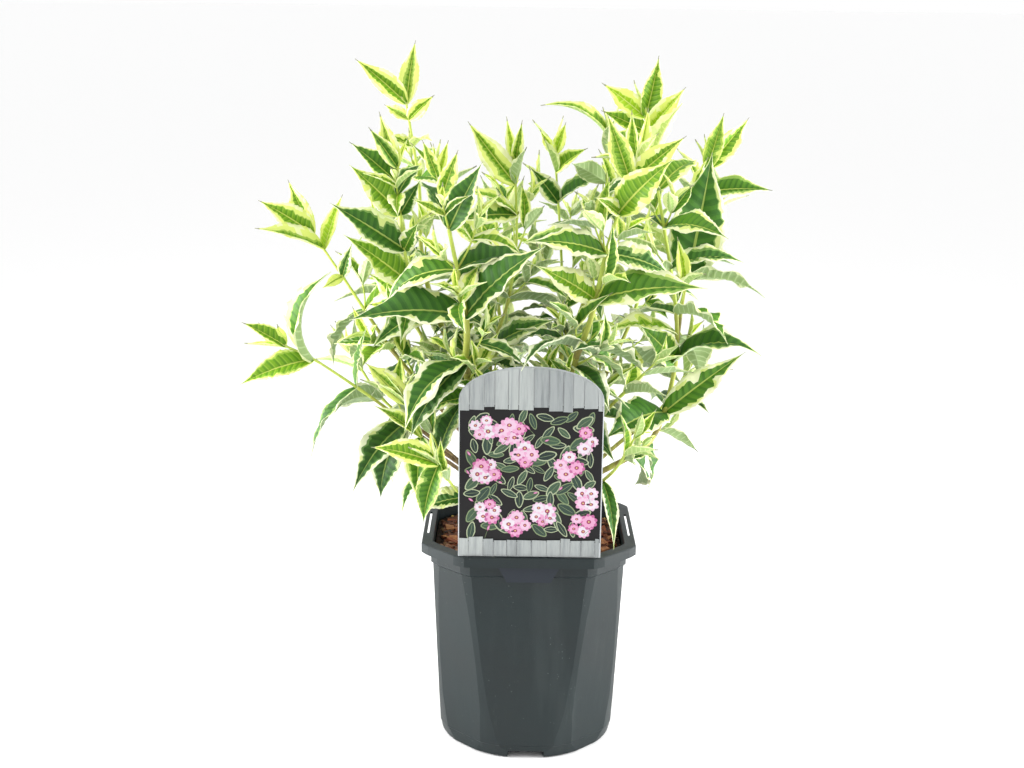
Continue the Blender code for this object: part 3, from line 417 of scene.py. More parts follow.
def shown_leaf(node, tip, curl, faces, wide, grown, rng):
    """A leaf whose tip lies at a point, bent evenly, its upper face to a direction."""
    stem_point, tangent, radius = node
    chord = tip - stem_point
    toward = chord.normalized()
    facing = direction(*faces)
    up = (facing - toward * facing.dot(toward)).normalized()
    half = 0.5 * turned(curl)
    along = toward * math.cos(half) + up * math.sin(half)
    length = chord.length * half / math.sin(half)
    return Leaf(
        base=foot_of(stem_point, along, tangent, radius),
        along=along,
        up=up * math.cos(half) - toward * math.sin(half),
        length=length,
        width=length * wide,
        fold=turned(mix(30, 16, grown) + rng.uniform(-5, 5)),
        curl=turned(curl),
        sway=rng.uniform(-0.05, 0.05),
        twist=turned(rng.uniform(-18, 18)),
        grown=grown,
    )


def half_width(s):
    """A leaf's half width over its greatest half width: full low down, drawn out at the tip."""
    widest = LEAF_BELLY / (LEAF_BELLY + LEAF_POINT)
    most = widest ** LEAF_BELLY * (1 - widest) ** LEAF_POINT
    return s ** LEAF_BELLY * (1 - s) ** LEAF_POINT / most


def midrib(leaf, s):
    """The point, the run of the rib, the side and the upward direction at a share of the length."""
    across = leaf.along.cross(leaf.up)
    bent = leaf.curl * s
    ahead = leaf.length * s * math.sin(bent) / bent if abs(bent) > 1e-6 else leaf.length * s
    down = leaf.length * s * (1 - math.cos(bent)) / bent if abs(bent) > 1e-6 else 0
    sideways = leaf.sway * leaf.length * s * s
    point = leaf.base + leaf.along * ahead - leaf.up * down + across * sideways
    along = (leaf.along * math.cos(bent) - leaf.up * math.sin(bent)).normalized()
    twist = Matrix.Rotation(leaf.twist * s, 3, along)
    side = (twist @ across).normalized()
    return point, along, side, side.cross(along)


def leaf_rings(leaf, spare=0.0):
    """The foot, four points for each station (left edge, top, right edge, underside), and the tip."""
    stations = LEAF_STATIONS if leaf.length > SMALL_LEAF else SMALL_LEAF_STATIONS
    rings = []
    for s in stations:
        point, _, side, up = midrib(leaf, s)
        wide = 0.5 * leaf.width * half_width(s)
        out, lift = side * (wide * math.cos(leaf.fold)), up * (wide * math.sin(leaf.fold))
        thick = up * (0.5 * LEAF_THICKNESS * leaf.length + spare)
        rings.append((point - out + lift, point + thick, point + out + lift, point - thick))
    return midrib(leaf, 0.0)[0], rings, midrib(leaf, 1.0)[0]


def leaf_faces(foot, rings, tip):
    """Points and faces of a leaf's thin solid, split alike above and below so that they never cross."""
    points = [p for ring in rings for p in ring] + [tip, foot]
    faces = []
    for k in range(len(rings) - 1):
        for i in range(4):
            a, b = 4 * k + i, 4 * k + (i + 1) % 4
            if i % 2:
                faces += [(a, b, a + 4), (b, b + 4, a + 4)]
            else:
                faces += [(a, b, b + 4), (a, b + 4, a + 4)]
    last = 4 * (len(rings) - 1)
    faces += [(last + i, last + (i + 1) % 4, len(points) - 2) for i in range(4)]
    faces += [((i + 1) % 4, i, len(points) - 1) for i in range(4)]
    return points, faces


def blade_tree(leaf):
    """What the clearance test sees of a leaf: the blade without its foot."""
    foot, rings, tip = leaf_rings(leaf, spare=CLEAR_OF_LEAF)
    first = LEAF_STATIONS[0] if len(rings) > 1 else SMALL_LEAF_STATIONS[0]
    near = tuple(foot.lerp(p, CLEAR_OF_STEM / first) for p in rings[0])
    return tree_of(*leaf_faces(foot.lerp(sum(near, Vector()) / 4, 0.9), [near] + rings, tip))


Solid = namedtuple("Solid", "tree low high")


def tree_of(points, faces):
    low = Vector([min(p[i] for p in points) for i in range(3)])
    high = Vector([max(p[i] for p in points) for i in range(3)])
    return Solid(BVHTree.FromPolygons(points, faces), low, high)


def touches(one, other):
    apart = any(one.low[i] > other.high[i] or one.high[i] < other.low[i] for i in range(3))
    return not apart and bool(one.tree.overlap(other.tree))


class Growth:
    """Every mass as it grows, and what is already there."""

    def __init__(self, solids):
        self.placed = list(solids)

    def first_clear(self, candidates):
        """The first of the candidate leaves that is clear of everything, or None."""
        for leaf in candidates:
            blade = blade_tree(leaf)
            if not any(touches(blade, other) for other in self.placed):
                self.placed.append(blade)
                return leaf
        return None


Twig = namedtuple("Twig", "name at bearing reach")
Node = namedtuple("Node", "pair at bearing grown length")


def rule_tries(node, bearing, grown, length, seed):
    for shorter in LENGTH_TRIES:
        for turn in BEARING_TRIES:
            yield rule_leaf(node, bearing + turn, grown, length * shorter, random.Random(seed))


def shown_tries(node, reading, grown, seed):
    *tip, curl, azimuth, elevation, wide = reading
    for shorter in LENGTH_TRIES:
        for up, back in NUDGES:
            aim = (Vector(tip) + Vector((0, back, up))) * MM
            aim = node[0].lerp(aim, shorter)
            faces = (azimuth, elevation)
            yield shown_leaf(node, aim, curl, faces, wide, grown, random.Random(seed))


def pair_places(spec):
    """The shares of a stem's length where its pairs of leaves stand."""
    upward = [1 - (1 - i / (spec.pairs - 1)) ** PAIR_CROWDING for i in range(spec.pairs)]
    return [mix(FIRST_PAIR, LAST_PAIR, share) for share in upward]


def nodes_along(line, spec):
    """Each pair's place on a stem, with the age and length of its leaves."""
    run = lengths_along(line)
    found = []
    for i, place in enumerate(pair_places(spec)):
        point, tangent = point_at(line, run, place * run[-1])
        grown = min(1.0, (1 - place) * run[-1] / GROWN_OVER)
        length = spec.leaf * MM * mix(BUD_LEAF, 1.0, min(1.0, LENGTH_LEAD * grown))
        radius = mix(spec.girth * MM, TIP_RADIUS, place)
        found.append(Node(i, (point, tangent, radius), spec.bearing + 90 * i, grown, length))
    return found


def leaves_along(growth, name, nodes, shown):
    """The leaves of one stem, some of them already placed, and the twigs in their axils."""
    leaves, twigs = [], []
    for node in nodes:
        for side in (0, 1):
            turn = node.bearing + 180 * side
            seed = f"{name} leaf {node.pair} {side}"
            leaf = shown.get((name, node.pair, side)) or growth.first_clear(
                rule_tries(node.at, turn, node.grown, node.length, seed))
            if leaf:
                leaves.append(leaf)
            rng = random.Random(f"{name} twig {node.pair} {side}")
            if node.grown > TWIGS_FROM and rng.random() < TWIG_SHARE:
                swung = turn + rng.uniform(-20, 20)
                reach = rng.uniform(*TWIG_REACH) * MM
                twigs.append(Twig(f"{name} twig {node.pair} {side}", node.at, swung, reach))
    return leaves, twigs


def twig_line(twig):
    point, tangent, _ = twig.at
    spread = turned(TWIG_SPREAD)
    along = tangent * math.cos(spread) + outward(tangent, turned(twig.bearing)) * math.sin(spread)
    half_way = point + along * (0.5 * twig.reach)
    onward = (along + TWIG_RISE * tangent).normalized()
    return [point, half_way, half_way + onward * (0.5 * twig.reach)]


def twig_with_leaves(growth, twig, leaf_length):
    """A side twig and its small leaves, or nothing where there is no room for it."""
    line = twig_line(twig)
    clear = [line[0].lerp(line[1], 0.5), line[1], line[2]]
    solid = tree_of(*tube_faces(clear, 2 * TWIG_RADIUS))
    if any(touches(solid, other) for other in growth.placed):
        return None, []
    growth.placed.append(solid)
    tip = (line[2].lerp(line[1], 0.08), (line[2] - line[1]).normalized(), TWIG_TIP * TWIG_RADIUS)
    length = TWIG_LEAF * leaf_length * MM
    tries = [
        rule_tries(tip, twig.bearing + 180 * side, TWIG_LEAF_AGE, length, f"{twig.name} {side}")
        for side in (0, 1)
    ]
    return line, [leaf for leaf in map(growth.first_clear, tries) if leaf]


def tube_faces(line, radius):
    """A three-sided sleeve round a line, for the clearance test."""
    points = []
    for i, p in enumerate(line):
        run = (line[min(i + 1, len(line) - 1)] - line[max(i - 1, 0)]).normalized()
        points += [p + outward(run, k * math.tau / 3) * radius for k in range(3)]
    faces = [(2, 1, 0), tuple(len(points) - 3 + k for k in range(3))]
    for i in range(len(line) - 1):
        for k in range(3):
            a, b = 3 * i + k, 3 * i + (k + 1) % 3
            faces.append((a, b, b + 3, a + 3))
    return points, faces


# Sections of the pot and outline of the card

Section = namedtuple("Section", "z flat diagonal round")


def cut_square(z, half, cut_corner):
    """A square with cut corners and slightly softened points."""
    corner = math.hypot(half, half - cut_corner)
    return Section(z, half, (2 * half - cut_corner) / math.sqrt(2), SOFT_CORNER * corner)


def circle(z, radius):
    return Section(z, radius, radius, radius)


def shrunk(section, by, z=None):
    place = section.z if z is None else z
    return Section(place, section.flat - by, section.diagonal - by, section.round - by)


def pot_body(z):
    """The body's outer section: a cone cut by eight flats of constant width, round at the foot."""
    half = COLLAR_HALF - COLLAR_STEP
    top = cut_square(COLLAR_FOOT - COLLAR_STEP, half, CORNER_CUT * half / RIM_HALF)
    share = z / top.z
    flat, diagonal = mix(FOOT_RADIUS, top.flat, share), mix(FOOT_RADIUS, top.diagonal, share)
    return Section(z, flat, diagonal, flat / mix(1.0, top.flat / top.round, share ** FLAT_HOLD))


def collar(z):
    return cut_square(z, COLLAR_HALF, CORNER_CUT * COLLAR_HALF / RIM_HALF)


def ring_points(section):
    """One turn of points, with a point at every crease where a flat meets the round."""
    flat = max(NARROWEST_FLAT, math.acos(min(1, section.flat / section.round)))
    slant = max(NARROWEST_FLAT, math.acos(min(1, section.diagonal / section.round)))
    eighth, quarter = math.pi / 4, math.pi / 2
    stops = ((-flat, flat, FLAT_STEPS), (flat, eighth - slant, ARC_STEPS),
             (eighth - slant, eighth + slant, CUT_STEPS), (eighth + slant, quarter - flat, ARC_STEPS))
    points = []
    for side in range(4):
        for first, last, steps in stops:
            for i in range(steps):
                angle = mix(first, last, i / steps)
                to_flat = min(abs(angle), abs(quarter - angle))
                reach = min(section.round, section.flat / math.cos(to_flat),
                            section.diagonal / math.cos(angle - eighth))
                turn = angle + side * quarter
                points.append(Vector((reach * math.cos(turn), reach * math.sin(turn), section.z)))
    return points


def pot_sections():
    body_top = COLLAR_FOOT - COLLAR_STEP
    skirt_foot = POT_HEIGHT - SKIRT_HEIGHT
    rim = cut_square(POT_HEIGHT, RIM_HALF, CORNER_CUT)
    inside_floor = shrunk(pot_body(FLOOR_OVER), WALL + BAND_STEP)
    return [
        circle(0, PAD_RADIUS),
        circle(FLOOR_UNDER, PAD_RADIUS),
        circle(FLOOR_UNDER, FOOT_RADIUS - FOOT_RING),
        circle(0, FOOT_RADIUS - FOOT_RING),
        circle(0, FOOT_RADIUS - BAND_STEP - EDGE),
        shrunk(pot_body(EDGE), BAND_STEP),
        shrunk(pot_body(BAND_HEIGHT), BAND_STEP),
        pot_body(BAND_HEIGHT + EDGE),
        *[pot_body(z) for z in BODY_LEVELS],
        pot_body(body_top),
        collar(COLLAR_FOOT),
        collar(POT_HEIGHT - FLANGE),
        shrunk(rim, WALL, POT_HEIGHT - FLANGE),
        shrunk(rim, WALL, skirt_foot),
        shrunk(rim, 0, skirt_foot),
        shrunk(rim, 0, POT_HEIGHT - EDGE),
        shrunk(rim, EDGE),
        shrunk(collar(POT_HEIGHT), WALL - EDGE),
        shrunk(collar(POT_HEIGHT - EDGE), WALL),
        shrunk(collar(COLLAR_FOOT), WALL),
        shrunk(pot_body(body_top), WALL),
        *[shrunk(pot_body(z), WALL) for z in reversed(BODY_LEVELS)],
        shrunk(pot_body(BAND_HEIGHT + EDGE), WALL + BAND_STEP),
        inside_floor,
    ]


def card_outline():
    """The card's edge in its own plane: foot, tongue, side, arch and side."""
    foot = POT_HEIGHT + GAP
    edge = [(-CARD_HALF, foot), (-TONGUE_HALF, foot), (-TONGUE_HALF, TONGUE_BEND),
            (-TONGUE_FOOT_HALF, TONGUE_FOOT), (TONGUE_FOOT_HALF, TONGUE_FOOT),
            (TONGUE_HALF, TONGUE_BEND), (TONGUE_HALF, foot), (CARD_HALF, foot)]
    for i in range(ARCH_STEPS + 1):
        angle = math.pi * i / ARCH_STEPS
        edge.append((CARD_HALF * math.cos(angle),
                     CARD_SHOULDER + (CARD_TOP - CARD_SHOULDER) * math.sin(angle)))
    return edge


# Finishes

class Socket:
    """An output in a finish, with the arithmetic that patterns are written in."""

    def __init__(self, finish, out):
        self.finish, self.out = finish, out

    def _maths(self, operation, *values):
        return self.finish.node("ShaderNodeMath", {"operation": operation}, dict(enumerate(values)))

    def __add__(self, other):
        return self._maths("ADD", self, other)

    def __radd__(self, other):
        return self._maths("ADD", other, self)

    def __mul__(self, other):
        return self._maths("MULTIPLY", self, other)

    def __rmul__(self, other):
        return self._maths("MULTIPLY", other, self)


class Finish:
    """One material, made by expressions on its sockets."""

    def __init__(self, name, colour=None, roughness=0.5, **constants):
        self.material = bpy.data.materials.new(name)
        self.material.use_nodes = True
        self.tree = self.material.node_tree
        self.shader = self.tree.nodes["Principled BSDF"]
        if colour:
            self.shader.inputs["Base Color"].default_value = (*colour, 1)
            self.material.diffuse_color = (*colour, 1)
        self.shader.inputs["Roughness"].default_value = roughness
        for socket, value in constants.items():
            self.shader.inputs[socket.replace("_", " ")].default_value = value

    def node(self, kind, settings=None, values=None, output=0):
        """A node: its settings first, then the values or links of its sockets."""
        made = self.tree.nodes.new(kind)
        for name, value in (settings or {}).items():
            if name == "stops":
                ramp = made.color_ramp
                while len(ramp.elements) < len(value):
                    ramp.elements.new(1.0)
                for element, (place, colour) in zip(ramp.elements, value):
                    element.position = place
                    element.color = (*colour, 1)
            else:
                setattr(made, name, value)
        for key, value in (values or {}).items():
            self.feed(made.inputs[key], value)
        return Socket(self, made.outputs[output])

    def feed(self, socket, value):
        if isinstance(value, Socket):
            self.tree.links.new(value.out, socket)
        elif socket.type == "RGBA":
            socket.default_value = (*value, 1)
        else:
            socket.default_value = value

    def where(self):
        return self.node("ShaderNodeTexCoord", output=3)

    def part_of_place(self, axis):
        return self.node("ShaderNodeSeparateXYZ", None, {"Vector": self.where()}, axis)

    def stretched(self, scale):
        return self.node("ShaderNodeMapping", None, {"Vector": self.where(), "Scale": scale})

    def noise(self, scale, detail=3.0, rough=0.5, over=None):
        values = {"Vector": over or self.where(), "Scale": scale, "Detail": detail, "Roughness": rough}
        return self.node("ShaderNodeTexNoise", None, values)

    def cells(self, scale, over=None):
        return self.node("ShaderNodeTexVoronoi", None, {"Vector": over or self.where(), "Scale": scale})

    def ramp(self, value, *stops):
        return self.node("ShaderNodeValToRGB", {"stops": stops}, {"Fac": value})

    def band(self, value, low, high):
        """0 below low, 1 above high, and smooth between."""
        return self.node("ShaderNodeMapRange", {"interpolation_type": "SMOOTHSTEP"},
                         {"Value": value, "From Min": low, "From Max": high})

    def blend(self, share, first, second):
        """The first colour, passing into the second with the share."""
        return self.node("ShaderNodeMix", {"data_type": "RGBA"}, {0: share, 6: first, 7: second}, 2)

    def colour(self, value):
        self.feed(self.shader.inputs["Base Color"], value)

    def rough(self, value):
        self.feed(self.shader.inputs["Roughness"], value)

    def bump(self, height, distance, strength=1.0):
        made = self.node("ShaderNodeBump", None,
                         {"Height": height, "Distance": distance, "Strength": strength})
        self.feed(self.shader.inputs["Normal"], made)


def linear(*srgb):
    """A colour given as a screen shows it, from 0 to 255, in the scene's linear values."""
    def one(c):
        c /= 255
        return c / 12.92 if c <= 0.04045 else ((c + 0.055) / 1.055) ** 2.4
    return tuple(one(c) for c in srgb)


# One fine pattern in a surface: its noise, how it is stretched, and what it does to the
# roughness and the relief.
Grain = namedtuple("Grain", "scale detail coarse stretch spread depth strength")
LEAF_GRAIN = Grain(900, 3.0, 0.6, None, 0.16, 0.5 * MM, 0.35)
STEM_GRAIN = Grain(260, 4.0, 0.6, (1, 1, 0.12), 0.2, 0.6 * MM, 0.4)
CHIP_GRAIN = Grain(600, 5.0, 0.7, (1.0, 0.35, 0.35), 0.35, 1.5 * MM, 0.8)
PRINT_GRAIN = Grain(45, 2.0, 0.5, None, 0.08, 0.4 * MM, 0.15)


def grained(name, colour, rough, least, grain, **constants):
    """A flat colour whose roughness and relief follow one grain."""
    made = Finish(name, colour, rough, **constants)
    over = made.stretched(grain.stretch) if grain.stretch else None
    pattern = made.noise(grain.scale, grain.detail, grain.coarse, over)
    made.rough(least + grain.spread * pattern)
    made.bump(pattern, grain.depth, grain.strength)
    return made.material


def leaf_finish(name, colour, rough):
    return grained(name, colour, rough, rough, LEAF_GRAIN, Specular_IOR_Level=0.28)


def stem_finish(name, colour):
    return grained(name, colour, 0.5, 0.42, STEM_GRAIN)


def chip_finish(name, colour):
    return grained(name, colour, 0.8, 0.6, CHIP_GRAIN)


def print_finish(name, colour, rough=0.42):
    """A colour printed under the card's matt film."""
    return grained(name, colour, rough, rough, PRINT_GRAIN, Coat_Weight=0.06, Specular_IOR_Level=0.25)


def bark_finish(colours):
    """Thin brown bark in long flakes, with pale ridges and pores, and green skin further up."""
    made = Finish("brown bark", roughness=0.85)
    height, rightward = made.part_of_place(2), made.part_of_place(0)
    along = made.noise(170, 6.0, 0.65, made.stretched((1, 1, 0.18)))
    patches = made.noise(60, 4.0, 0.6, made.stretched((1, 1, 0.3)))
    pores = made.cells(420, made.stretched((1, 1, 0.6)))
    shade = made.ramp(along, (0.30, colours.bark_dark), (0.52, colours.bark), (0.72, colours.bark_pale))
    bark = made.blend(made.band(pores, 0.16, 0.10), shade, colours.bark_pale)
    skin = made.ramp(along, (0.35, colours.stem_old), (0.60, colours.stem))
    greening = made.band(height + 0.5 * rightward + 0.09 * patches, 0.262, 0.320)
    made.colour(made.blend(greening, bark, skin))
    made.rough(0.6 + 0.25 * along)
    made.bump(along + 0.3 * pores, 0.9 * MM, 0.7)
    return made.material


def pot_finish(colours):
    """Slate moulded plastic: satin, dusted, with fine pale specks and scuffs along its length."""
    made = Finish("slate plastic", roughness=0.4, Specular_IOR_Level=0.36)
    cloud = made.noise(16, 4.0, 0.6)
    grain = made.noise(1500, 2.0, 0.5)
    specks = made.cells(330)
    few = made.noise(60, 2.0, 0.5)
    scuffs = made.noise(90, 5.0, 0.7, made.stretched((1.0, 1.0, 0.08)))
    drips = made.noise(38, 3.0, 0.6, made.stretched((1.0, 1.0, 0.16)))
    body = made.blend(made.band(cloud, 0.35, 0.68), colours.pot_dark, colours.pot)
    dusty = made.blend(0.12 * made.band(drips, 0.5, 0.75), body, colours.pot_dust)
    worn = made.blend(0.16 * made.band(scuffs, 0.62, 0.74), dusty, colours.pot_dust)
    dots = made.band(specks, 0.10, 0.05) * made.band(few, 0.56, 0.62)
    made.colour(made.blend(0.7 * dots, worn, colours.pot_speck))
    made.rough(0.30 + 0.16 * cloud + 0.12 * scuffs + 0.2 * dots)
    made.bump(grain + 0.7 * scuffs + 2.0 * dots, 0.25 * MM, 0.5)
    return made.material


def soil_finish(colours):
    """Dark peat between the bark chips, darkest in the low crumbs of its relief: the peat's own colour and
    painted shade in the gaps.
    """
    made = Finish("peat", roughness=0.95)
    crumbs = made.noise(420, 6.0, 0.7)
    lumps = made.cells(240)
    made.colour(made.ramp(crumbs, (0.3, colours.peat_dark_and_gap_shade), (0.6, colours.peat), (0.8, colours.chip_brown)))
    made.rough(0.85 + 0.15 * crumbs)
    made.bump(crumbs + lumps, 3 * MM)
    return made.material


def board_finish(name, colour, stain):
    """Painted planks: faint grain that runs up the card, and small worn knots."""
    made = Finish(name, roughness=0.42, Coat_Weight=0.08)
    grain = made.noise(300, 5.0, 0.65, made.stretched((1.0, 1.0, 0.07)))
    cloud = made.noise(40, 3.0, 0.6)
    knots = made.cells(52, made.stretched((1.0, 1.0, 0.6)))
    base = made.blend(made.band(grain, 0.42, 0.70), colour, stain)
    worn = 0.55 * made.band(knots, 0.11, 0.05) * made.band(cloud, 0.5, 0.6)
    made.colour(made.blend(worn, base, tuple(0.5 * c for c in stain)))
    made.rough(0.34 + 0.08 * grain)
    made.bump(grain, 0.2 * MM, 0.2)
    return made.material


# Making pieces

def object_of(name, bm, materials=()):
    """An object that isn't linked yet, with a bmesh as its mesh."""
    mesh = bpy.data.meshes.new(name)
    bm.to_mesh(mesh)
    bm.free()
    for material in materials:
        mesh.materials.append(material)
    return bpy.data.objects.new(name, mesh)


def finished(name, bm, materials, replaced=()):
    """Turns a bmesh into a piece that rides on the plant."""
    obj = object_of(name, bm, materials)
    bpy.context.scene.collection.objects.link(obj)
    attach(obj, "root")
    if replaced:
        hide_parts(*replaced)
    return obj


def sharpen(bm, degrees):
    """Smooth faces, with every edge that turns more than this kept sharp."""
    bm.normal_update()
    for face in bm.faces:
        face.smooth = True
    for edge in bm.edges:
        if len(edge.link_faces) == 2 and edge.calc_face_angle(0) > math.radians(degrees):
            edge.smooth = False


def next_ring(bm, edges):
    """Extrudes a ring of edges: the new ring's points and edges, and the faces in between."""
    grown = bmesh.ops.extrude_edge_only(bm, edges=edges)["geom"]
    verts = [g for g in grown if isinstance(g, bmesh.types.BMVert)]
    faces = [g for g in grown if isinstance(g, bmesh.types.BMFace)]
    new = set(verts)
    edges = [g for g in grown if isinstance(g, bmesh.types.BMEdge) and new.issuperset(g.verts)]
    return verts, edges, faces


def tube(bm, line, radii, sides, skin=None):
    """A round limb: a circle, extruded from point to point with its radius there."""
    last = len(line) - 1
    tangents = [(line[min(i + 1, last)] - line[max(i - 1, 0)]).normalized() for i in range(len(line))]
    verts = bmesh.ops.create_circle(bm, cap_ends=False, segments=sides, radius=1.0)["verts"]
    edges = list({e for v in verts for e in v.link_edges})
    spin = tangents[0].to_track_quat("Z", "Y").to_matrix().to_4x4()
    shape = Matrix.Translation(line[0]) @ spin @ Matrix.Scale(radii[0], 4)
    bmesh.ops.transform(bm, matrix=shape, verts=verts)
    first = edges
    for i in range(1, len(line)):
        spin = tangents[i - 1].rotation_difference(tangents[i]).to_matrix().to_4x4() @ spin
        verts, edges, faces = next_ring(bm, edges)
        after = Matrix.Translation(line[i]) @ spin @ Matrix.Scale(radii[i], 4)
        bmesh.ops.transform(bm, matrix=after @ shape.inverted(), verts=verts)
        shape = after
        for face in faces:
            face.smooth = True
            face.material_index = skin(i / last) if skin else 0
    for ring in (first, edges):
        for face in bmesh.ops.holes_fill(bm, edges=ring)["faces"]:
            face.smooth = True


# Leaves

# Blades by least length: how many side veins, and how many rows of faces across the heart.
BLADES = ((46 * MM, 12, 5), (24 * MM, 8, 3), (0.0, 4, 1))

# The rib's half width as a share of the blade's, and each vein's three rows of points.
RIB = 0.05
VEIN_ROWS = (0.0, 0.2, 0.6)
VEIN_LEAN = 0.17
VEIN_SUNK = -0.6
RAISED_BETWEEN = 0.7
CHEEK = 0.09
PUCKER = 1.5
RIB_DEPTH = 0.35 * MM
RIB_SLOPE = 0.12
BLADE_THICKNESS = 0.32 * MM
STALK_HALF_WIDTH = 0.75 * MM
TIP_HALF_WIDTH = 0.12 * MM
DRAWN_FROM = 0.58
DRAWN = 0.78
EDGE_WANDER = (-0.13, 0.11)
DEEP_INLETS = (0.2, 0.35)
INLET_SHARE = 0.08
CREAM_TIP_FROM = 0.82
CREAM_TIP = 0.12
NARROWEST_HEART, WIDEST_HEART = 0.24, 0.95

# What the faces of a blade are coloured as, in the order of a palette's colours.
# The heart painted shade is painted shade: a darker green on the slope beside each sunk vein.
ROLES = ("heart", "heart shade", "side vein", "half tone", "cream edge", "yellow edge", "midrib",
         "under", "under vein", "under edge", "tip")
# The side vein is the vein's own paler green in the bud and fresh palettes, and in the grown, deep and shaded
# ones a darker green that is painted shade in the sunk groove.
(HEART, HEART_PAINTED_SHADE, SIDE_VEIN_AND_GROOVE_SHADE, HALF_TONE, CREAM_EDGE, YELLOW_EDGE, MIDRIB,
 UNDER, UNDER_VEIN, UNDER_EDGE, TIP) = range(len(ROLES))
UNDERSIDES = {HEART: UNDER, HEART_PAINTED_SHADE: UNDER, SIDE_VEIN_AND_GROOVE_SHADE: UNDER_VEIN, HALF_TONE: UNDER,
              CREAM_EDGE: UNDER_EDGE, YELLOW_EDGE: UNDER_EDGE, MIDRIB: UNDER_VEIN, TIP: TIP}

# Palettes from the bud to old shaded leaves, in screen colours.
PALETTES = {
    "bud": ((166, 202, 42), (150, 190, 36), (186, 212, 84), (204, 222, 104), (232, 238, 172), (222, 233, 120),
            (214, 226, 120), (184, 206, 110), (208, 222, 140), (230, 238, 166), (152, 156, 122)),
    "fresh": ((117, 161, 32), (95, 143, 28), (140, 176, 54), (160, 189, 76), (231, 235, 180), (219, 229, 124),
              (202, 214, 104), (168, 196, 118), (196, 214, 146), (226, 234, 172), (146, 148, 118)),
    "grown": ((86, 134, 34), (66, 113, 28), (80, 130, 36), (140, 174, 80), (231, 234, 190), (216, 225, 138),
              (184, 200, 98), (156, 180, 124), (182, 201, 150), (222, 228, 184), (124, 130, 100)),
    "deep": ((66, 114, 34), (50, 96, 28), (56, 102, 32), (116, 150, 76), (228, 231, 192), (210, 218, 144),
             (166, 184, 96), (146, 168, 124), (170, 190, 148), (216, 222, 188), (108, 116, 88)),
    "shaded": ((50, 92, 28), (38, 76, 22), (42, 80, 26), (94, 128, 66), (216, 220, 188), (196, 204, 140),
               (142, 162, 86), (128, 148, 110), (150, 170, 130), (204, 210, 176), (104, 98, 82)),
}
BUD, FRESH, GROWN, DEEP, SHADED = range(len(PALETTES))
# Where the pale edge may start, as a share of the half width, for each palette.
EDGES = ((0.30, 0.38, 0.48, 0.58), (0.38, 0.48, 0.58, 0.68, 0.80), (0.60, 0.70, 0.78, 0.84, 0.88, 0.92),
         (0.60, 0.70, 0.78, 0.84, 0.88, 0.92), (0.66, 0.76, 0.84, 0.90))

# What grown leaves draw their palette from, by how low they hang.
# The deep and shaded palettes are partly old leaves' own darker green and partly painted shade low down and
# inside the crown.
GROWN_PALETTES = ((0.6, (GROWN, DEEP, DEEP, SHADED)), (0.3, (FRESH, GROWN, GROWN, DEEP, DEEP)),
                  (-1.0, (FRESH, FRESH, GROWN, GROWN, DEEP)))

Form = namedtuple("Form", "palette quilt ripple ripples phase edge teeth half_tone seed")


def palette_of(leaf, low, rng):
    """A blade's palette: buds are yellow, long young leaves fresh, and low old ones dark, partly with painted
    shade.
    """
    if leaf.grown < 0.16 and leaf.length < 34 * MM:
        return BUD if low < 0.55 else FRESH
    if leaf.grown < 0.3 and leaf.length > 48 * MM:
        return rng.choice((FRESH, FRESH, GROWN)) if low > 0.15 else FRESH
    if leaf.grown < 0.5:
        return rng.choice((BUD, FRESH, FRESH, FRESH, GROWN) if low < 0.45 else (FRESH, FRESH, GROWN))
    return rng.choice(next(palettes for least, palettes in GROWN_PALETTES if low > least))


def form_of(leaf, name, low):
    """How one blade is finished: its palette, relief, and how wide its pale edge runs."""
    rng = random.Random(f"{name} form")
    palette = palette_of(leaf, low, rng)
    return Form(
        palette=palette,
        quilt=mix(0.18, 0.90, leaf.grown) * MM * rng.uniform(0.7, 1.3),
        ripple=leaf.length * mix(0.010, 0.032, leaf.grown) * rng.uniform(0.5, 1.6),
        ripples=rng.uniform(2.2, 4.6),
        phase=rng.uniform(0, math.tau),
        edge=rng.choice(EDGES[palette]),
        teeth=rng.uniform(0.03, 0.07),
        half_tone=rng.choice((0.02, 0.05, 0.12, 0.22)),
        seed=rng.uniform(0, 1000),
    )


def edge_reach(form, veins):
    """For each side and row of points, where the pale edge starts: it jumps from vein to vein."""
    rng = random.Random(form.seed)
    sides = []
    for _ in (0, 1):
        reach, run = [], 0.0
        for k in range(veins + 1):
            run = 0.5 * run + rng.uniform(*EDGE_WANDER)
            inlet = rng.choice(DEEP_INLETS) if rng.random() < INLET_SHARE else 0.0
            level = form.edge + run - inlet
            if k > CREAM_TIP_FROM * veins:
                level -= CREAM_TIP
            reach += [level + rng.uniform(0.0, 0.06), level + rng.uniform(0.02, 0.09),
                      level - rng.uniform(0.0, 0.07)]
        sides.append([min(WIDEST_HEART, max(NARROWEST_HEART, r)) for r in reach[:3 * veins + 1]])
    return sides


def row_places(veins):
    """The shares of a blade's length where its rows of points lie: each vein is a narrow row."""
    return [(k + sub) / veins for k in range(veins) for sub in VEIN_ROWS] + [1.0]


def column_places(reach, half_tone, inner):
    """The shares of the half width where one row's points lie, out from the midrib."""
    start = max(RIB + 0.08, reach - half_tone)
    if inner == 1:
        return [0.0, RIB, start, 1.0]
    plain = [mix(RIB, start, (i + 1) / (inner - 2)) for i in range(inner - 2)]
    return [0.0, RIB] + plain + [reach, mix(reach, 1.0, 0.55), 1.0]


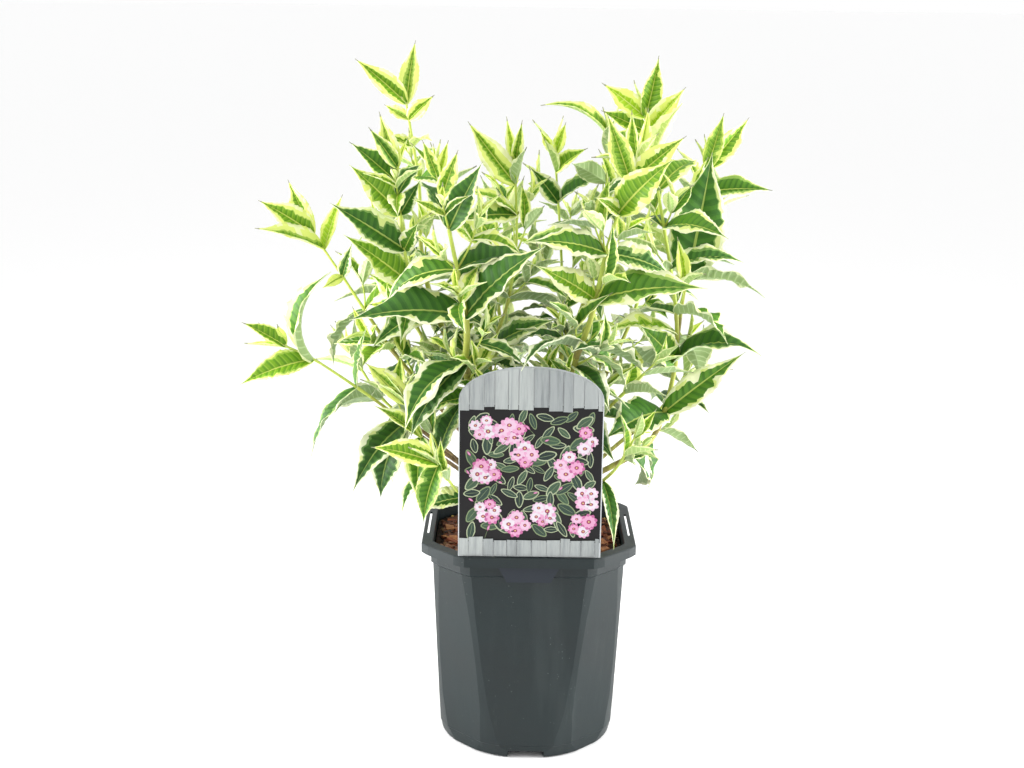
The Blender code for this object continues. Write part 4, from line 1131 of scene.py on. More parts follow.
def blade_point(leaf, form, along, across, row):
    """A point of a blade's upper face, by its share along the rib and across the half width."""
    wide_out = abs(across)
    lean = VEIN_LEAN * (1 - along) * min(1.0, along / 0.08)
    s = along + lean * (0.8 * wide_out + 0.2 * wide_out ** 2)
    point, _, side, up = midrib(leaf, s)
    rim = along + lean
    drawn = 1 - DRAWN * max(0.0, (rim - DRAWN_FROM) / (1 - DRAWN_FROM)) ** 1.2
    least = mix(STALK_HALF_WIDTH, TIP_HALF_WIDTH, along)
    half = max(0.5 * leaf.width * half_width(rim) * drawn, least)
    if wide_out > 0.99 and row % 3 == 1:
        half *= 1 + form.teeth
    body = math.sin(math.pi * min(1.0, along * 1.15))
    arch = math.sin(math.pi * min(1.0, 0.12 + 0.9 * wide_out)) * body
    lift = half * wide_out * math.sin(leaf.fold)
    cheek = CHEEK * half * math.sin(math.pi * wide_out)
    quilt = form.quilt * (RAISED_BETWEEN if row % 3 == 2 else VEIN_SUNK) * arch
    pucker = PUCKER * form.quilt * noise.noise(Vector((30 * s, 5 * across, form.seed))) * arch
    wave = form.ripple * math.sin(math.tau * form.ripples * s + form.phase + (2 if across > 0 else 0))
    rib = RIB_DEPTH * max(0.0, 1 - wide_out / RIB_SLOPE) * (1 - along)
    height = lift + cheek + quilt + pucker + wave * wide_out ** 3 * body - rib
    return point + side * (across * half * math.cos(leaf.fold)) + up * height


def face_role(row, column, last, form, cream):
    """What one face of a blade is coloured as, by its row and its column out from the midrib."""
    if column == 0:
        return MIDRIB
    if column >= last:
        return cream[row // 3][column - last]
    if 1 < column == last - 1 and form.half_tone > 0.03:
        return HALF_TONE
    # Each vein's three rows: the sunk vein, the slope in the heart painted shade, and the raised crest in the
    # plain heart colour.
    return (SIDE_VEIN_AND_GROOVE_SHADE, HEART_PAINTED_SHADE, HEART)[row % 3]


def add_blade(bm, leaf, name, low):
    """One blade as a grid on the lines of its side veins, its colours dealt out face by face."""
    form = form_of(leaf, name, low)
    veins, inner = next((veins, inner) for least, veins, inner in BLADES if leaf.length > least)
    along = row_places(veins)
    rows = len(along) - 1
    places = [[column_places(r, form.half_tone, inner) for r in side] for side in edge_reach(form, veins)]
    columns = len(places[0][0]) - 1
    last = columns - 1 if inner == 1 else columns - 2
    rng = random.Random(form.seed + 1)
    browned = leaf.grown > 0.9 and low > 0.5 and rng.random() < 0.10
    yellow = 0.2 + 0.5 * (1 - leaf.grown)
    cream = [[YELLOW_EDGE if rng.random() < yellow + more else CREAM_EDGE for more in (0.3, -0.2)]
             for _ in range(veins)]
    made = bmesh.ops.create_grid(bm, x_segments=2 * columns, y_segments=rows, size=1.0)
    for face in {f for v in made["verts"] for f in v.link_faces}:
        centre = face.calc_center_median()
        row = min(rows - 1, int((centre.y + 1) / 2 * rows))
        column = min(columns - 1, int(abs(centre.x) * columns))
        role = face_role(row, column, last, form, cream)
        if row > rows - 3 and (browned or leaf.grown < 0.3) or browned and row > rows - 5:
            role = TIP
        face.material_index = form.palette * len(ROLES) + role
        face.smooth = True
    for vert in made["verts"]:
        row = round((vert.co.y + 1) / 2 * rows)
        out = round(abs(vert.co.x) * columns)
        side = 1 if vert.co.x > 0 else 0
        across = places[side][row][out] * (1 if side else -1)
        vert.co = blade_point(leaf, form, along[row], across, row)


def thicken(bm, thickness):
    """Gives the blades their thickness, a paler underside and a crisp edge."""
    upper = set(bm.verts)
    tops = set(bm.faces)
    bmesh.ops.solidify(bm, geom=bm.faces[:], thickness=thickness)
    for face in bm.faces:
        if face in tops:
            continue
        if any(v in upper for v in face.verts):
            face.smooth = False
        else:
            palette, role = divmod(face.material_index, len(ROLES))
            face.material_index = palette * len(ROLES) + UNDERSIDES[role]
            face.smooth = True


def leaf_materials():
    """A finish for each colour of each palette: the young ones glossier, the undersides matt."""
    made = []
    for palette, colours in PALETTES.items():
        for role, colour in zip(ROLES, colours):
            rough = 0.34 if palette in ("bud", "fresh") else 0.40
            if role.startswith("under"):
                rough = 0.55
            made.append(leaf_finish(f"{palette} {role}", linear(*colour), rough))
    return made


# Growth beyond the solids

# Lengths in millimetres, and shares of the axils that bear a leaf or a shoot.
AXIL_SHARE = 0.6
AXIL_LEAF = (12, 24)
TUFT_LEAF = (15, 32)
TUFT_NARROW = 0.72
SIDE_SHOOT_SHARE = 0.55
SIDE_SHOOT_REACH = (18, 44)
SIDE_SHOOT_LEAF = (26, 46)
SIDE_SHOOT_STEP = 5 * MM
SIDE_SHOOT_PAIR = 15 * MM
SIDE_SHOOT_SPREAD = 0.42
SLEEVE = 1.6 * TWIG_RADIUS
BOUGH_SHOOTS_AT = (0.56, 0.70, 0.83, 0.95)
BOUGH_SHOOTS_ABOVE = 272 * MM
BOUGH_SHOOTS_WITHIN = 95 * MM
SPARSE_BELOW = 268 * MM
SPARSE_PAST = 58 * MM
NEAR_BOX = 4 * MM
CROWN_FOOT = 190 * MM
CROWN_HEIGHT = 330 * MM
CROWN_RADIUS = 170 * MM


def kept_sparse(point):
    """Whether a place lies low and far out, where the plant keeps only its larger leaves."""
    return point.z < SPARSE_BELOW and abs(point.x) > SPARSE_PAST


def inside_box(leaf):
    """Whether a leaf stays within the solids' box, or nearly."""
    low, high = CAD_BOX
    places = [midrib(leaf, s)[0] for s in (0.55, 1.0)]
    return all(low[i] - NEAR_BOX < p[i] < high[i] + NEAR_BOX for p in places for i in range(3))


def small_leaf(growth, node, bearing, grown, length, seed, narrow=1.0):
    """One extra leaf by the solids' rule, or None where there is no room for it."""
    tries = rule_tries(node, bearing, grown, length, seed)
    narrowed = (leaf._replace(width=narrow * leaf.width) for leaf in tries)
    return growth.first_clear(leaf for leaf in narrowed if inside_box(leaf))


def side_shoot(growth, name, at, bearing, reach, leaf_length):
    """A short shoot from an axil, with one to three pairs of leaves, where there is room for it."""
    line = smooth_through(twig_line(Twig(name, at, bearing, reach)), SIDE_SHOOT_STEP)
    sleeve = tree_of(*tube_faces(line[2:], SLEEVE))
    if len(line) < 4 or any(touches(sleeve, other) for other in growth.placed):
        return None, []
    growth.placed.append(sleeve)
    run = lengths_along(line)
    leaves = []
    pairs = 1 + int(run[-1] / SIDE_SHOOT_PAIR)
    for pair in range(pairs):
        place = 1.0 - SIDE_SHOOT_SPREAD * pair / max(1, pairs - 1)
        point, tangent = point_at(line, run, place * run[-1])
        for side in (0, 1):
            seed = f"{name} {pair} {side}"
            leaf = small_leaf(growth, (point, tangent, TWIG_TIP * TWIG_RADIUS),
                              bearing + 180 * side + 90 * pair, 0.12 + 0.3 * pair,
                              leaf_length * (0.62 + 0.25 * pair), seed)
            if leaf:
                leaves.append((leaf, seed))
    return line, leaves


class Plant:
    """Every stem, twig and leaf, first those of the solids and then the finer ones."""

    def __init__(self):
        solid_nodes = [n for n in frame["nodes"] if not n.startswith("foliage_")]
        self.growth = Growth(tree_of_node(frame["nodes"][n]) for n in sorted(solid_nodes))
        self.lines = {cane.name: cane_lines(cane) for cane in CANES}
        self.shoots = [(c, c.name, self.lines[c.name][1]) for c in CANES]
        self.shoots += [(f, f.on, fork_line(f, self.lines[f.on][1])) for f in FORKS]
        self.nodes = {spec.name: nodes_along(line, spec) for spec, _, line in self.shoots}
        self.leaves = {c.name: [] for c in CANES}
        self.twigs = []
        self.grow_source()
        self.grow_on_boughs()
        self.grow_finer()

    def grow_source(self):
        """The leaves and twigs of the solids, in the same order."""
        growth = self.growth
        for spec, _, line in self.shoots:
            growth.placed.append(tree_of(*tube_faces(line, spec.girth * MM)))
        shown = {}
        for name, readings in SHOWN.items():
            for pair, side, *reading in readings:
                node = self.nodes[name][pair]
                shown[name, pair, side] = growth.first_clear(
                    shown_tries(node.at, reading, node.grown, f"{name} shown {pair} {side}"))
        axils = []
        for spec, mass, line in self.shoots:
            leaves, found = leaves_along(growth, spec.name, self.nodes[spec.name], shown)
            self.leaves[mass] += [(leaf, f"{spec.name} {i}") for i, leaf in enumerate(leaves)]
            axils += [(mass, spec.leaf, twig) for twig in found]
        for mass, leaf_length, twig in axils:
            line, leaves = twig_with_leaves(growth, twig, leaf_length)
            if line:
                self.twigs.append(line)
                self.leaves[mass] += [(leaf, f"{twig.name} {i}") for i, leaf in enumerate(leaves)]

    def add_leaf(self, mass, name, at, bearing, grown, length, narrow=1.0):
        leaf = small_leaf(self.growth, at, bearing, grown, length, name, narrow)
        if leaf:
            self.leaves[mass].append((leaf, name))

    def add_side_shoot(self, mass, name, at, bearing, rng):
        reach = rng.uniform(*SIDE_SHOOT_REACH) * MM
        length = rng.uniform(*SIDE_SHOOT_LEAF) * MM
        twig, leaves = side_shoot(self.growth, name, at, bearing, reach, length)
        if twig:
            self.twigs.append(twig)
        self.leaves[mass] += leaves

    def grow_on_boughs(self):
        """Old leaves and short shoots on the upper ends of the boughs, in the middle of the plant."""
        for cane in CANES:
            bough = self.lines[cane.name][0]
            run = lengths_along(bough)
            for i, share in enumerate(BOUGH_SHOOTS_AT):
                point, tangent = point_at(bough, run, share * run[-1])
                if point.z < BOUGH_SHOOTS_ABOVE or abs(point.x) > BOUGH_SHOOTS_WITHIN:
                    continue
                for side in (0, 1):
                    name = f"{cane.name} bough {i} {side}"
                    rng = random.Random(name)
                    at = (point, tangent, cane.girth * MM)
                    bearing = cane.bearing + 90 * i + 180 * side + rng.uniform(-20, 20)
                    length = cane.leaf * rng.uniform(0.6, 0.9) * MM
                    self.add_leaf(cane.name, name, at, bearing, rng.uniform(0.7, 1.0), length)
                    self.add_side_shoot(cane.name, f"{name} shoot", at, bearing + 40, rng)

    def grow_tuft(self, spec, mass):
        """Narrow upright leaves that have just opened at a shoot's tip."""
        node = self.nodes[spec.name][-1]
        for i, share in enumerate((1.0, 0.6, 0.0)):
            for side in (0, 1):
                bearing = node.bearing + 180 * side + 50 + 70 * i
                length = mix(*TUFT_LEAF, share) * MM
                name = f"{spec.name} tuft {i} {side}"
                self.add_leaf(mass, name, node.at, bearing, 0.0, length, TUFT_NARROW)

    def grow_finer(self):
        """Short shoots and small leaves in the axils, and tufts at the tips."""
        for spec, mass, _ in self.shoots:
            self.grow_tuft(spec, mass)
            for node in self.nodes[spec.name]:
                if kept_sparse(node.at[0]):
                    continue
                for side in (0, 1):
                    name = f"{spec.name} axil {node.pair} {side}"
                    rng = random.Random(name)
                    bearing = node.bearing + 180 * side + rng.uniform(-24, 24)
                    if node.grown > 0.45 and rng.random() < SIDE_SHOOT_SHARE:
                        self.add_side_shoot(mass, name, node.at, bearing, rng)
                    if rng.random() < AXIL_SHARE:
                        length = rng.uniform(*AXIL_LEAF) * MM
                        self.add_leaf(mass, name, node.at, bearing + 30, 0.1, length)


def tree_of_node(obj):
    points = [v.co.copy() for v in obj.data.vertices]
    return tree_of(points, [tuple(p.vertices) for p in obj.data.polygons])


def lowness(point):
    """0 at the crown's top and outside, 1 low down and near the middle."""
    height = (point.z - CROWN_FOOT) / CROWN_HEIGHT
    inner = 1 - min(1.0, math.hypot(point.x, point.y) / CROWN_RADIUS)
    return min(1.0, max(0.0, 1.0 - height) * 0.8 + 0.35 * inner)


def make_leaves(plant):
    """One piece of leaves for each foliage mass."""
    materials = leaf_materials()
    for mass, leaves in plant.leaves.items():
        bm = bmesh.new()
        for leaf, name in leaves:
            add_blade(bm, leaf, name, lowness(midrib(leaf, 0.5)[0]))
        thicken(bm, BLADE_THICKNESS)
        finished(f"leaves_{mass}", bm, materials, (f"foliage_{mass}",))


# Stems and wood

STEM_STEP = 4 * MM
BOUGH_STEP = 3 * MM
STEM_SIDES, TWIG_SIDES, BOUGH_SIDES, TRUNK_SIDES = 9, 6, 12, 32
TRUNK_STEPS = 22
KNUCKLE = 0.28
KNUCKLE_REACH = 3.2 * MM
OLD_SKIN, OLD_SKIN_RIGHT = 0.1, 0.2
GROWN_SKIN = 0.3
TWIG_END = 0.65
BOUGH_RELIEF, TRUNK_RELIEF = 0.22 * MM, 0.9 * MM
HEAD_TOP = 0.985


def stem_radii(line, foot, tip, knuckles):
    """A stem's radius at each of its points, thicker at its leaf pairs."""
    run = lengths_along(line)
    radii = []
    for distance in run:
        near = min((abs(distance - k) for k in knuckles), default=1.0)
        swell = 1 + KNUCKLE * max(0.0, 1 - near / KNUCKLE_REACH)
        radii.append(mix(foot, tip, distance / run[-1]) * swell)
    return radii


def make_green_stems(plant, skins):
    """The stems that bear the leaves, greener towards their tips."""
    bm = bmesh.new()
    for spec, mass, line in plant.shoots:
        fine = smooth_through(line, STEM_STEP)
        length = lengths_along(fine)[-1]
        fine = [fine[0] + (fine[0] - fine[1]).normalized() * (1.5 * MM)] + fine
        knuckles = [place * length for place in pair_places(spec)]
        radii = stem_radii(fine, spec.girth * MM, TIP_RADIUS, knuckles)
        old = OLD_SKIN_RIGHT if mass == "right" else OLD_SKIN
        grown = old + GROWN_SKIN
        tube(bm, fine, radii, STEM_SIDES, lambda s, old=old, grown=grown: (s < old) + (s < grown))
    finished("green_stems", bm, skins)


def make_twigs(plant, skins):
    bm = bmesh.new()
    for line in plant.twigs:
        fine = smooth_through(line, STEM_STEP)
        last = len(fine) - 1
        radii = [mix(TWIG_RADIUS, TWIG_END * TWIG_RADIUS, i / last) for i in range(len(fine))]
        tube(bm, fine, radii, TWIG_SIDES, lambda share: int(share <= GROWN_SKIN))
    finished("twigs", bm, skins)


def roughen(bm, amount, across, along):
    """Raises ridges that run up the wood."""
    bm.normal_update()
    for vert in bm.verts:
        p = vert.co
        ridge = noise.noise(Vector((p.x * across, p.y * across, p.z * along)))
        fine = noise.noise(Vector((p.x * 3 * across, p.y * 3 * across, p.z * 2 * along + 7)))
        vert.co = p + vert.normal * (amount * (ridge + 0.5 * fine))


def make_boughs(plant, bark):
    """The leafless lower ends of the canes, each swollen where it leaves the trunk's head."""
    bm = bmesh.new()
    for cane in CANES:
        line = smooth_through(plant.lines[cane.name][0], BOUGH_STEP)
        inward = (line[0] - line[1]).normalized() * (5 * MM)
        onward = (line[-1] - line[-2]).normalized() * (2 * MM)
        line = [line[0] + inward] + line + [line[-1] + onward]
        radii = stem_radii(line, BOUGH_FOOT * cane.girth * MM, cane.girth * MM, [])
        radii[0] *= 1.5
        radii[1] *= 1.25
        tube(bm, line, radii, BOUGH_SIDES)
    roughen(bm, BOUGH_RELIEF, 700, 160)
    finished("woody_boughs", bm, [bark], tuple(f"bough_{cane.name}" for cane in CANES))


def make_trunk(bark):
    """The stock: flared at the mix and rounded at its head."""
    bm = bmesh.new()
    foot = MIX_EDGE_HEIGHT + MIX_MOUND + GAP
    line, radii = [], []
    for i in range(TRUNK_STEPS + 1):
        z = mix(foot, HEAD.z + HEAD_TOP * HEAD_RADIUS, i / TRUNK_STEPS)
        share = min(1.0, (z - foot) / (HEAD.z - foot))
        flare = TRUNK_WAIST + (TRUNK_FLARE - TRUNK_WAIST) * max(0.0, 1 - (z - foot) / FLARE_HEIGHT) ** 1.6
        inside = HEAD_RADIUS ** 2 - (z - HEAD.z) ** 2
        head = math.sqrt(inside) if inside > 0 else 0.0
        line.append(Vector((HEAD.x * share, HEAD.y * share, z)))
        radii.append(head if z > HEAD.z else max(flare, head))
    tube(bm, line, radii, TRUNK_SIDES)
    roughen(bm, TRUNK_RELIEF, 190, 60)
    finished("trunk_bark", bm, [bark], ("trunk",))


# Pot

# Edges that turn more than this, in degrees, stay crisp.
CRISP = 5.5
CUT_ROUND = 1.2 * MM
SAME_PLACE = 1e-6


def place_ring(verts, slot, section):
    points = ring_points(section)
    for vert in verts:
        vert.co = points[vert[slot]]


def loft_bmesh(sections):
    """A closed solid through sections: a circle, moved to the first and extruded to each next."""
    bm = bmesh.new()
    count = len(ring_points(sections[0]))
    bmesh.ops.create_circle(bm, cap_ends=False, segments=count, radius=1.0)
    slot = bm.verts.layers.int.new("slot")
    bm.verts.ensure_lookup_table()
    for vert in bm.verts:
        vert[slot] = round(math.atan2(vert.co.y, vert.co.x) / math.tau * count) % count
    place_ring(bm.verts, slot, sections[0])
    first = edges = list(bm.edges)
    for section in sections[1:]:
        verts, edges, _ = next_ring(bm, edges)
        place_ring(verts, slot, section)
    for ring in (first, edges):
        bmesh.ops.holes_fill(bm, edges=ring)
    bmesh.ops.recalc_face_normals(bm, faces=bm.faces)
    return bm


def cutter(name, size, distance, height, turn):
    """A box out from the pot's middle at a turn, rounded along the edges that run through the wall."""
    bm = bmesh.new()
    bmesh.ops.create_cube(bm, size=1.0)
    bmesh.ops.scale(bm, vec=size, verts=bm.verts)
    through = [e for e in bm.edges if abs((e.verts[0].co - e.verts[1].co).normalized().x) > 0.9]
    bmesh.ops.bevel(bm, geom=through, offset=CUT_ROUND, offset_type="OFFSET", segments=3, profile=0.5,
                    affect="EDGES", material=-1)
    place = Matrix.Rotation(turn, 4, "Z") @ Matrix.Translation((distance, 0, height))
    bmesh.ops.transform(bm, matrix=place, verts=bm.verts)
    return object_of(name, bm)


def make_pot(colours):
    """The pot: finer sections than the solid's, then the notches and card slots cut out."""
    pot = finished("nursery_pot", loft_bmesh(pot_sections()), [pot_finish(colours)], ("pot",))
    tools = bpy.data.collections.new("pot cutters")
    bpy.context.scene.collection.children.link(tools)
    for name, size, distance, height in (
        ("notch", (NOTCH.y, NOTCH.x, NOTCH.z + EDGE), FOOT_RADIUS, 0.5 * NOTCH.z - EDGE),
        ("slot", (SLOT.y, SLOT.x, SLOT.z), SLOT_DISTANCE, POT_HEIGHT),
    ):
        for i in range(POT_SIDES):
            tools.objects.link(cutter(f"{name} {i}", size, distance, height, i * math.tau / POT_SIDES))
    modifier = pot.modifiers.new("cut", "BOOLEAN")
    modifier.operation = "DIFFERENCE"
    modifier.operand_type = "COLLECTION"
    modifier.collection = tools
    modifier.solver = "EXACT"
    bpy.context.view_layer.update()
    graph = bpy.context.evaluated_depsgraph_get()
    mesh = bpy.data.meshes.new_from_object(pot.evaluated_get(graph))
    pot.modifiers.clear()
    for obj in list(tools.objects):
        bpy.data.objects.remove(obj)
    bpy.data.collections.remove(tools)
    bm = bmesh.new()
    bm.from_mesh(mesh)
    bmesh.ops.remove_doubles(bm, verts=bm.verts, dist=SAME_PLACE)
    sharpen(bm, CRISP)
    bm.to_mesh(pot.data)
    bm.free()
    bpy.data.meshes.remove(mesh)


# Potting mix

CHIPS = 950
CHIP_LENGTHS = (5, 7, 9, 12, 16)
CHIP_BROWNS = (("red", (142, 74, 46)), ("brown", (104, 58, 40)), ("pale", (176, 116, 78)),
               ("dark", (62, 36, 28)), ("dry", (150, 108, 84)))

# Which brown a chip takes, by number: the middle ones more often.
CHIP_SKINS = (0, 0, 1, 1, 1, 2, 3, 3, 4)
GRAINS = 90
GRAIN_COLOUR = (206, 172, 96)


def mix_reach(turn):
    """How far the mix runs from the middle at a bearing."""
    section = collar(MIX_EDGE_HEIGHT)
    quarter = math.pi / 2
    angle = (turn + math.pi / 4) % quarter - math.pi / 4
    to_cut = abs(abs(angle) - math.pi / 4)
    wall = min(section.round, section.flat / math.cos(angle), section.diagonal / math.cos(to_cut))
    return wall - WALL - MIX_GAP


def chip_place(rng, spare):
    """A place on the mix, clear of the wall and the trunk."""
    while True:
        x, y = rng.uniform(-COLLAR_HALF, COLLAR_HALF), rng.uniform(-COLLAR_HALF, COLLAR_HALF)
        away = math.hypot(x, y)
        if away < mix_reach(math.atan2(y, x)) - spare and away > TRUNK_FLARE + 1 * MM:
            mound = MIX_MOUND * max(0.0, 1 - away / COLLAR_HALF)
            return Vector((x, y, MIX_EDGE_HEIGHT + mound))


def add_chip(bm, rng):
    """One splinter of bark: a bevelled box, pulled out of square."""
    length = rng.choice(CHIP_LENGTHS) * rng.uniform(0.8, 1.2) * MM
    width = length * rng.uniform(0.28, 0.55)
    thick = rng.uniform(1.0, 2.8) * MM
    made = bmesh.ops.create_cube(bm, size=1.0)["verts"]
    bmesh.ops.transform(bm, matrix=Matrix.Diagonal((length, width, thick, 1)), verts=made)
    for vert in made:
        vert.co += Vector((rng.uniform(-0.12, 0.12) * length, rng.uniform(-0.22, 0.22) * width,
                           rng.uniform(-0.25, 0.25) * thick))
    edges = list({e for v in made for e in v.link_edges})
    skin = rng.choice(CHIP_SKINS)
    for face in {f for v in made for f in v.link_faces}:
        face.material_index = skin
    bevelled = bmesh.ops.bevel(bm, geom=edges, offset=0.16 * thick, offset_type="OFFSET", segments=1,
                               profile=0.5, affect="EDGES", material=-1)
    made = list({v for f in bevelled["faces"] for v in f.verts})
    tilt = (Matrix.Rotation(rng.uniform(0, math.tau), 4, "Z") @ Matrix.Rotation(rng.gauss(0, 0.24), 4, "X")
            @ Matrix.Rotation(rng.gauss(0, 0.22), 4, "Y"))
    place = chip_place(rng, 0.5 * length + 0.5 * MM)
    place.z += rng.uniform(-0.3, 1.9) * MM
    bmesh.ops.transform(bm, matrix=Matrix.Translation(place) @ tilt, verts=made)


def add_grain(bm, rng):
    """One pressed grain of feed."""
    made = bmesh.ops.create_icosphere(bm, subdivisions=1, radius=rng.uniform(0.8, 1.5) * MM)["verts"]
    place = chip_place(rng, 3 * MM)
    place.z += rng.uniform(1.2, 2.6) * MM
    squash = Matrix.Diagonal((1, rng.uniform(0.8, 1), rng.uniform(0.7, 1), 1))
    bmesh.ops.transform(bm, matrix=Matrix.Translation(place) @ squash, verts=made)


def make_mix(colours):
    """Bark chips and grains of feed on the mix, and the mix's own finish."""
    rng = random.Random("chips")
    bm = bmesh.new()
    for _ in range(CHIPS):
        add_chip(bm, rng)
    browns = [chip_finish(f"bark chip {name}", linear(*colour)) for name, colour in CHIP_BROWNS]
    finished("bark_chips", bm, browns)
    bm = bmesh.new()
    for _ in range(GRAINS):
        add_grain(bm, rng)
    for face in bm.faces:
        face.smooth = True
    finished("feed_grains", bm, [chip_finish("feed grain", linear(*GRAIN_COLOUR))])
    soil = frame["nodes"]["potting_mix"]
    soil.data.materials.clear()
    soil.data.materials.append(soil_finish(colours))


# Card

# The print lies on the card in thin layers, counted from the card's face.
CARD_FACE = -SLOT_DISTANCE - 0.5 * CARD_THICKNESS
LAYER = 0.004 * MM
GROUND_LAYER, LEAF_LAYER, FLOWER_LAYER, BUD_LAYER, PLANK_LAYER = 6, 8, 120, 238, 245
PRINT_THICKNESS = 0.02 * MM
BOARD_TOP = 293 * MM
BOARD_FOOT = 190 * MM
GROUND_MORE = 3 * MM
FACE_MARGIN = 0.8 * MM
PICTURE_LEAVES = 100
PICTURE_CLUSTERS = 11
PICTURE_BUDS = 16

# How far leaves, flowers and buds keep from the sides, the foot and the top of the picture.
LEAVES_WITHIN = (8.8 * MM, 5.5 * MM, 5.5 * MM)
FLOWERS_WITHIN = (7.5 * MM, 6.5 * MM, 8 * MM)
BUDS_WITHIN = (6 * MM, 8 * MM, 4 * MM)

# Each plank's paint and the stain in its grain.
PLANK_COLOURS = (((152, 157, 156), (126, 131, 132)), ((162, 167, 165), (138, 143, 143)),
                 ((144, 149, 149), (120, 125, 126)))
PRINT_COLOURS = {
    "picture ground": (16, 14, 16), "leaf rim pale": (160, 170, 138), "leaf rim green": (116, 132, 96),
    "print leaf": (46, 64, 54), "print leaf deep": (32, 46, 42), "print leaf mid": (60, 82, 62),
    "petal pink": (206, 150, 182), "petal rose": (178, 96, 142), "petal white": (206, 198, 206),
    "petal blush": (208, 176, 196), "petal eye": (142, 48, 88), "petal heart": (196, 176, 116),
}


def turn_to_front(face, material):
    face.material_index = material
    face.normal_update()
    if face.normal.y > 0:
        face.normal_flip()


def flat_patch(bm, outline, layer, material):
    """A flat printed shape in front of the card, from a few corners in the card's own plane."""
    verts = [bm.verts.new((x, CARD_FACE - LAYER * layer, z)) for x, z in outline]
    turn_to_front(bm.faces.new(verts), material)


def round_patch(bm, at, size, turn, layer, material, points=12, pointed=0.0):
    """A petal or leaf: a circle drawn out along a direction, pointed where asked."""
    made = bmesh.ops.create_circle(bm, cap_ends=True, segments=points, radius=1.0)["verts"]
    cos, sin = math.cos(turn), math.sin(turn)
    for vert in made:
        a, b = size[0] * vert.co.x, size[1] * vert.co.y * (1 - pointed * abs(vert.co.x))
        vert.co = Vector((at[0] + a * cos - b * sin, CARD_FACE - LAYER * layer, at[1] + a * sin + b * cos))
    turn_to_front(made[0].link_faces[0], material)


def spread_places(rng, count, reach, low, high, tries=14):
    """Places that keep apart: each is the farthest of a few from those already taken."""
    found = []
    for _ in range(count):
        offered = [(rng.uniform(-reach, reach), rng.uniform(low, high)) for _ in range(tries)]
        found.append(max(offered, key=lambda p: min((math.dist(p, q) for q in found), default=0.0)))
    return found


def clustered_places(rng, reach, low, high):
    """Places in loose groups of three to five."""
    found = []
    for x, z in spread_places(rng, PICTURE_CLUSTERS, reach, low, high):
        turn = rng.uniform(0, math.tau)
        count = rng.choice((3, 4, 4, 5))
        for k in range(count):
            aim = turn + k * math.tau / count
            out = rng.uniform(4.5, 7.5) * MM
            at = (x + out * math.cos(aim), z + out * math.sin(aim))
            found.append((max(-reach, min(reach, at[0])), max(low, min(high, at[1]))))
    return found


def picture_leaf(bm, rng, at, layer, skins):
    """One oval leaf with a pale rim, a dark blade and a fine rib."""
    rim, blade, rib = skins
    long_half = rng.uniform(5.4, 8.6) * MM
    wide_half = long_half * rng.uniform(0.38, 0.54)
    turn = rng.uniform(0, math.tau)
    round_patch(bm, at, (long_half, wide_half), turn, layer, rim, 14, 0.22)
    round_patch(bm, at, (0.86 * long_half, 0.78 * wide_half), turn, layer + 0.5, blade, 14, 0.22)
    round_patch(bm, at, (0.8 * long_half, 0.16 * MM), turn, layer + 0.8, rib, 6)


def card_edge_height(x):
    """The top of the card at a distance from its middle."""
    return CARD_SHOULDER + (CARD_TOP - CARD_SHOULDER) * math.sqrt(max(0.0, 1 - (x / CARD_HALF) ** 2))


def make_planks(bm, rng):
    """Pale painted planks above and below the picture, with uneven ends and gaps."""
    x = -CARD_HALF + FACE_MARGIN
    while x < CARD_HALF - FACE_MARGIN - 2 * MM:
        wide = min(rng.uniform(7, 11.5) * MM, CARD_HALF - FACE_MARGIN - x)
        left, right = x, x + wide - rng.uniform(0.25, 0.5) * MM
        for lower in (True, False):
            skin = rng.randrange(len(PLANK_COLOURS))
            ends = [rng.uniform(-1.7, 1.7) * MM, 0.0]
            ends[1] = ends[0] + rng.uniform(-0.4, 0.4) * MM
            if lower:
                foot = POT_HEIGHT + GAP + FACE_MARGIN
                outline = [(left, foot), (right, foot), (right, BOARD_FOOT + ends[1]),
                           (left, BOARD_FOOT + ends[0])]
            else:
                arch = [mix(right, left, i / 5) for i in range(6)]
                outline = [(left, BOARD_TOP + ends[0]), (right, BOARD_TOP + ends[1])]
                outline += [(place, card_edge_height(place) - FACE_MARGIN) for place in arch]
            flat_patch(bm, outline, PLANK_LAYER, skin)
        x += wide


def rosette(bm, rng, at, size, layer, skins):
    """An open round flower with two rings of petals and a deep eye."""
    pale, deep, eye, heart = skins
    turn = rng.uniform(0, math.tau)
    count = rng.choice((7, 8, 9))
    squash = rng.uniform(0.72, 1.0)
    for ring, skin, reach in ((0, deep, 1.0), (1, pale, 0.78)):
        for k in range(count):
            aim = turn + (k + 0.5 * ring) * math.tau / count
            long_half = 0.27 * size * reach
            centre = (at[0] + 1.05 * long_half * math.cos(aim),
                      at[1] + 1.05 * long_half * squash * math.sin(aim))
            petal_layer = layer + 1.5 * ring + 0.5 * (k % 3)
            round_patch(bm, centre, (long_half, 0.62 * long_half), aim, petal_layer, skin, 10)
    round_patch(bm, at, (0.15 * size, 0.15 * size * squash), 0, layer + 3.4, eye, 8)
    round_patch(bm, at, (0.06 * size, 0.06 * size), 0, layer + 3.8, heart, 6)


def picture_bud(bm, rng, at, layer, skins):
    """A closed bud on a fine stalk."""
    petal, streak, stalk = skins
    turn = rng.uniform(0.2, math.pi - 0.2)
    long_half = rng.uniform(1.6, 2.4) * MM
    foot = (at[0] - 2.4 * long_half * math.cos(turn), at[1] - 2.4 * long_half * math.sin(turn))
    round_patch(bm, foot, (1.6 * long_half, 0.14 * MM), turn, layer, stalk, 6)
    round_patch(bm, at, (long_half, 0.42 * long_half), turn, layer + 0.5, petal, 10, 0.3)
    round_patch(bm, at, (0.7 * long_half, 0.2 * long_half), turn, layer + 0.9, streak, 8, 0.3)


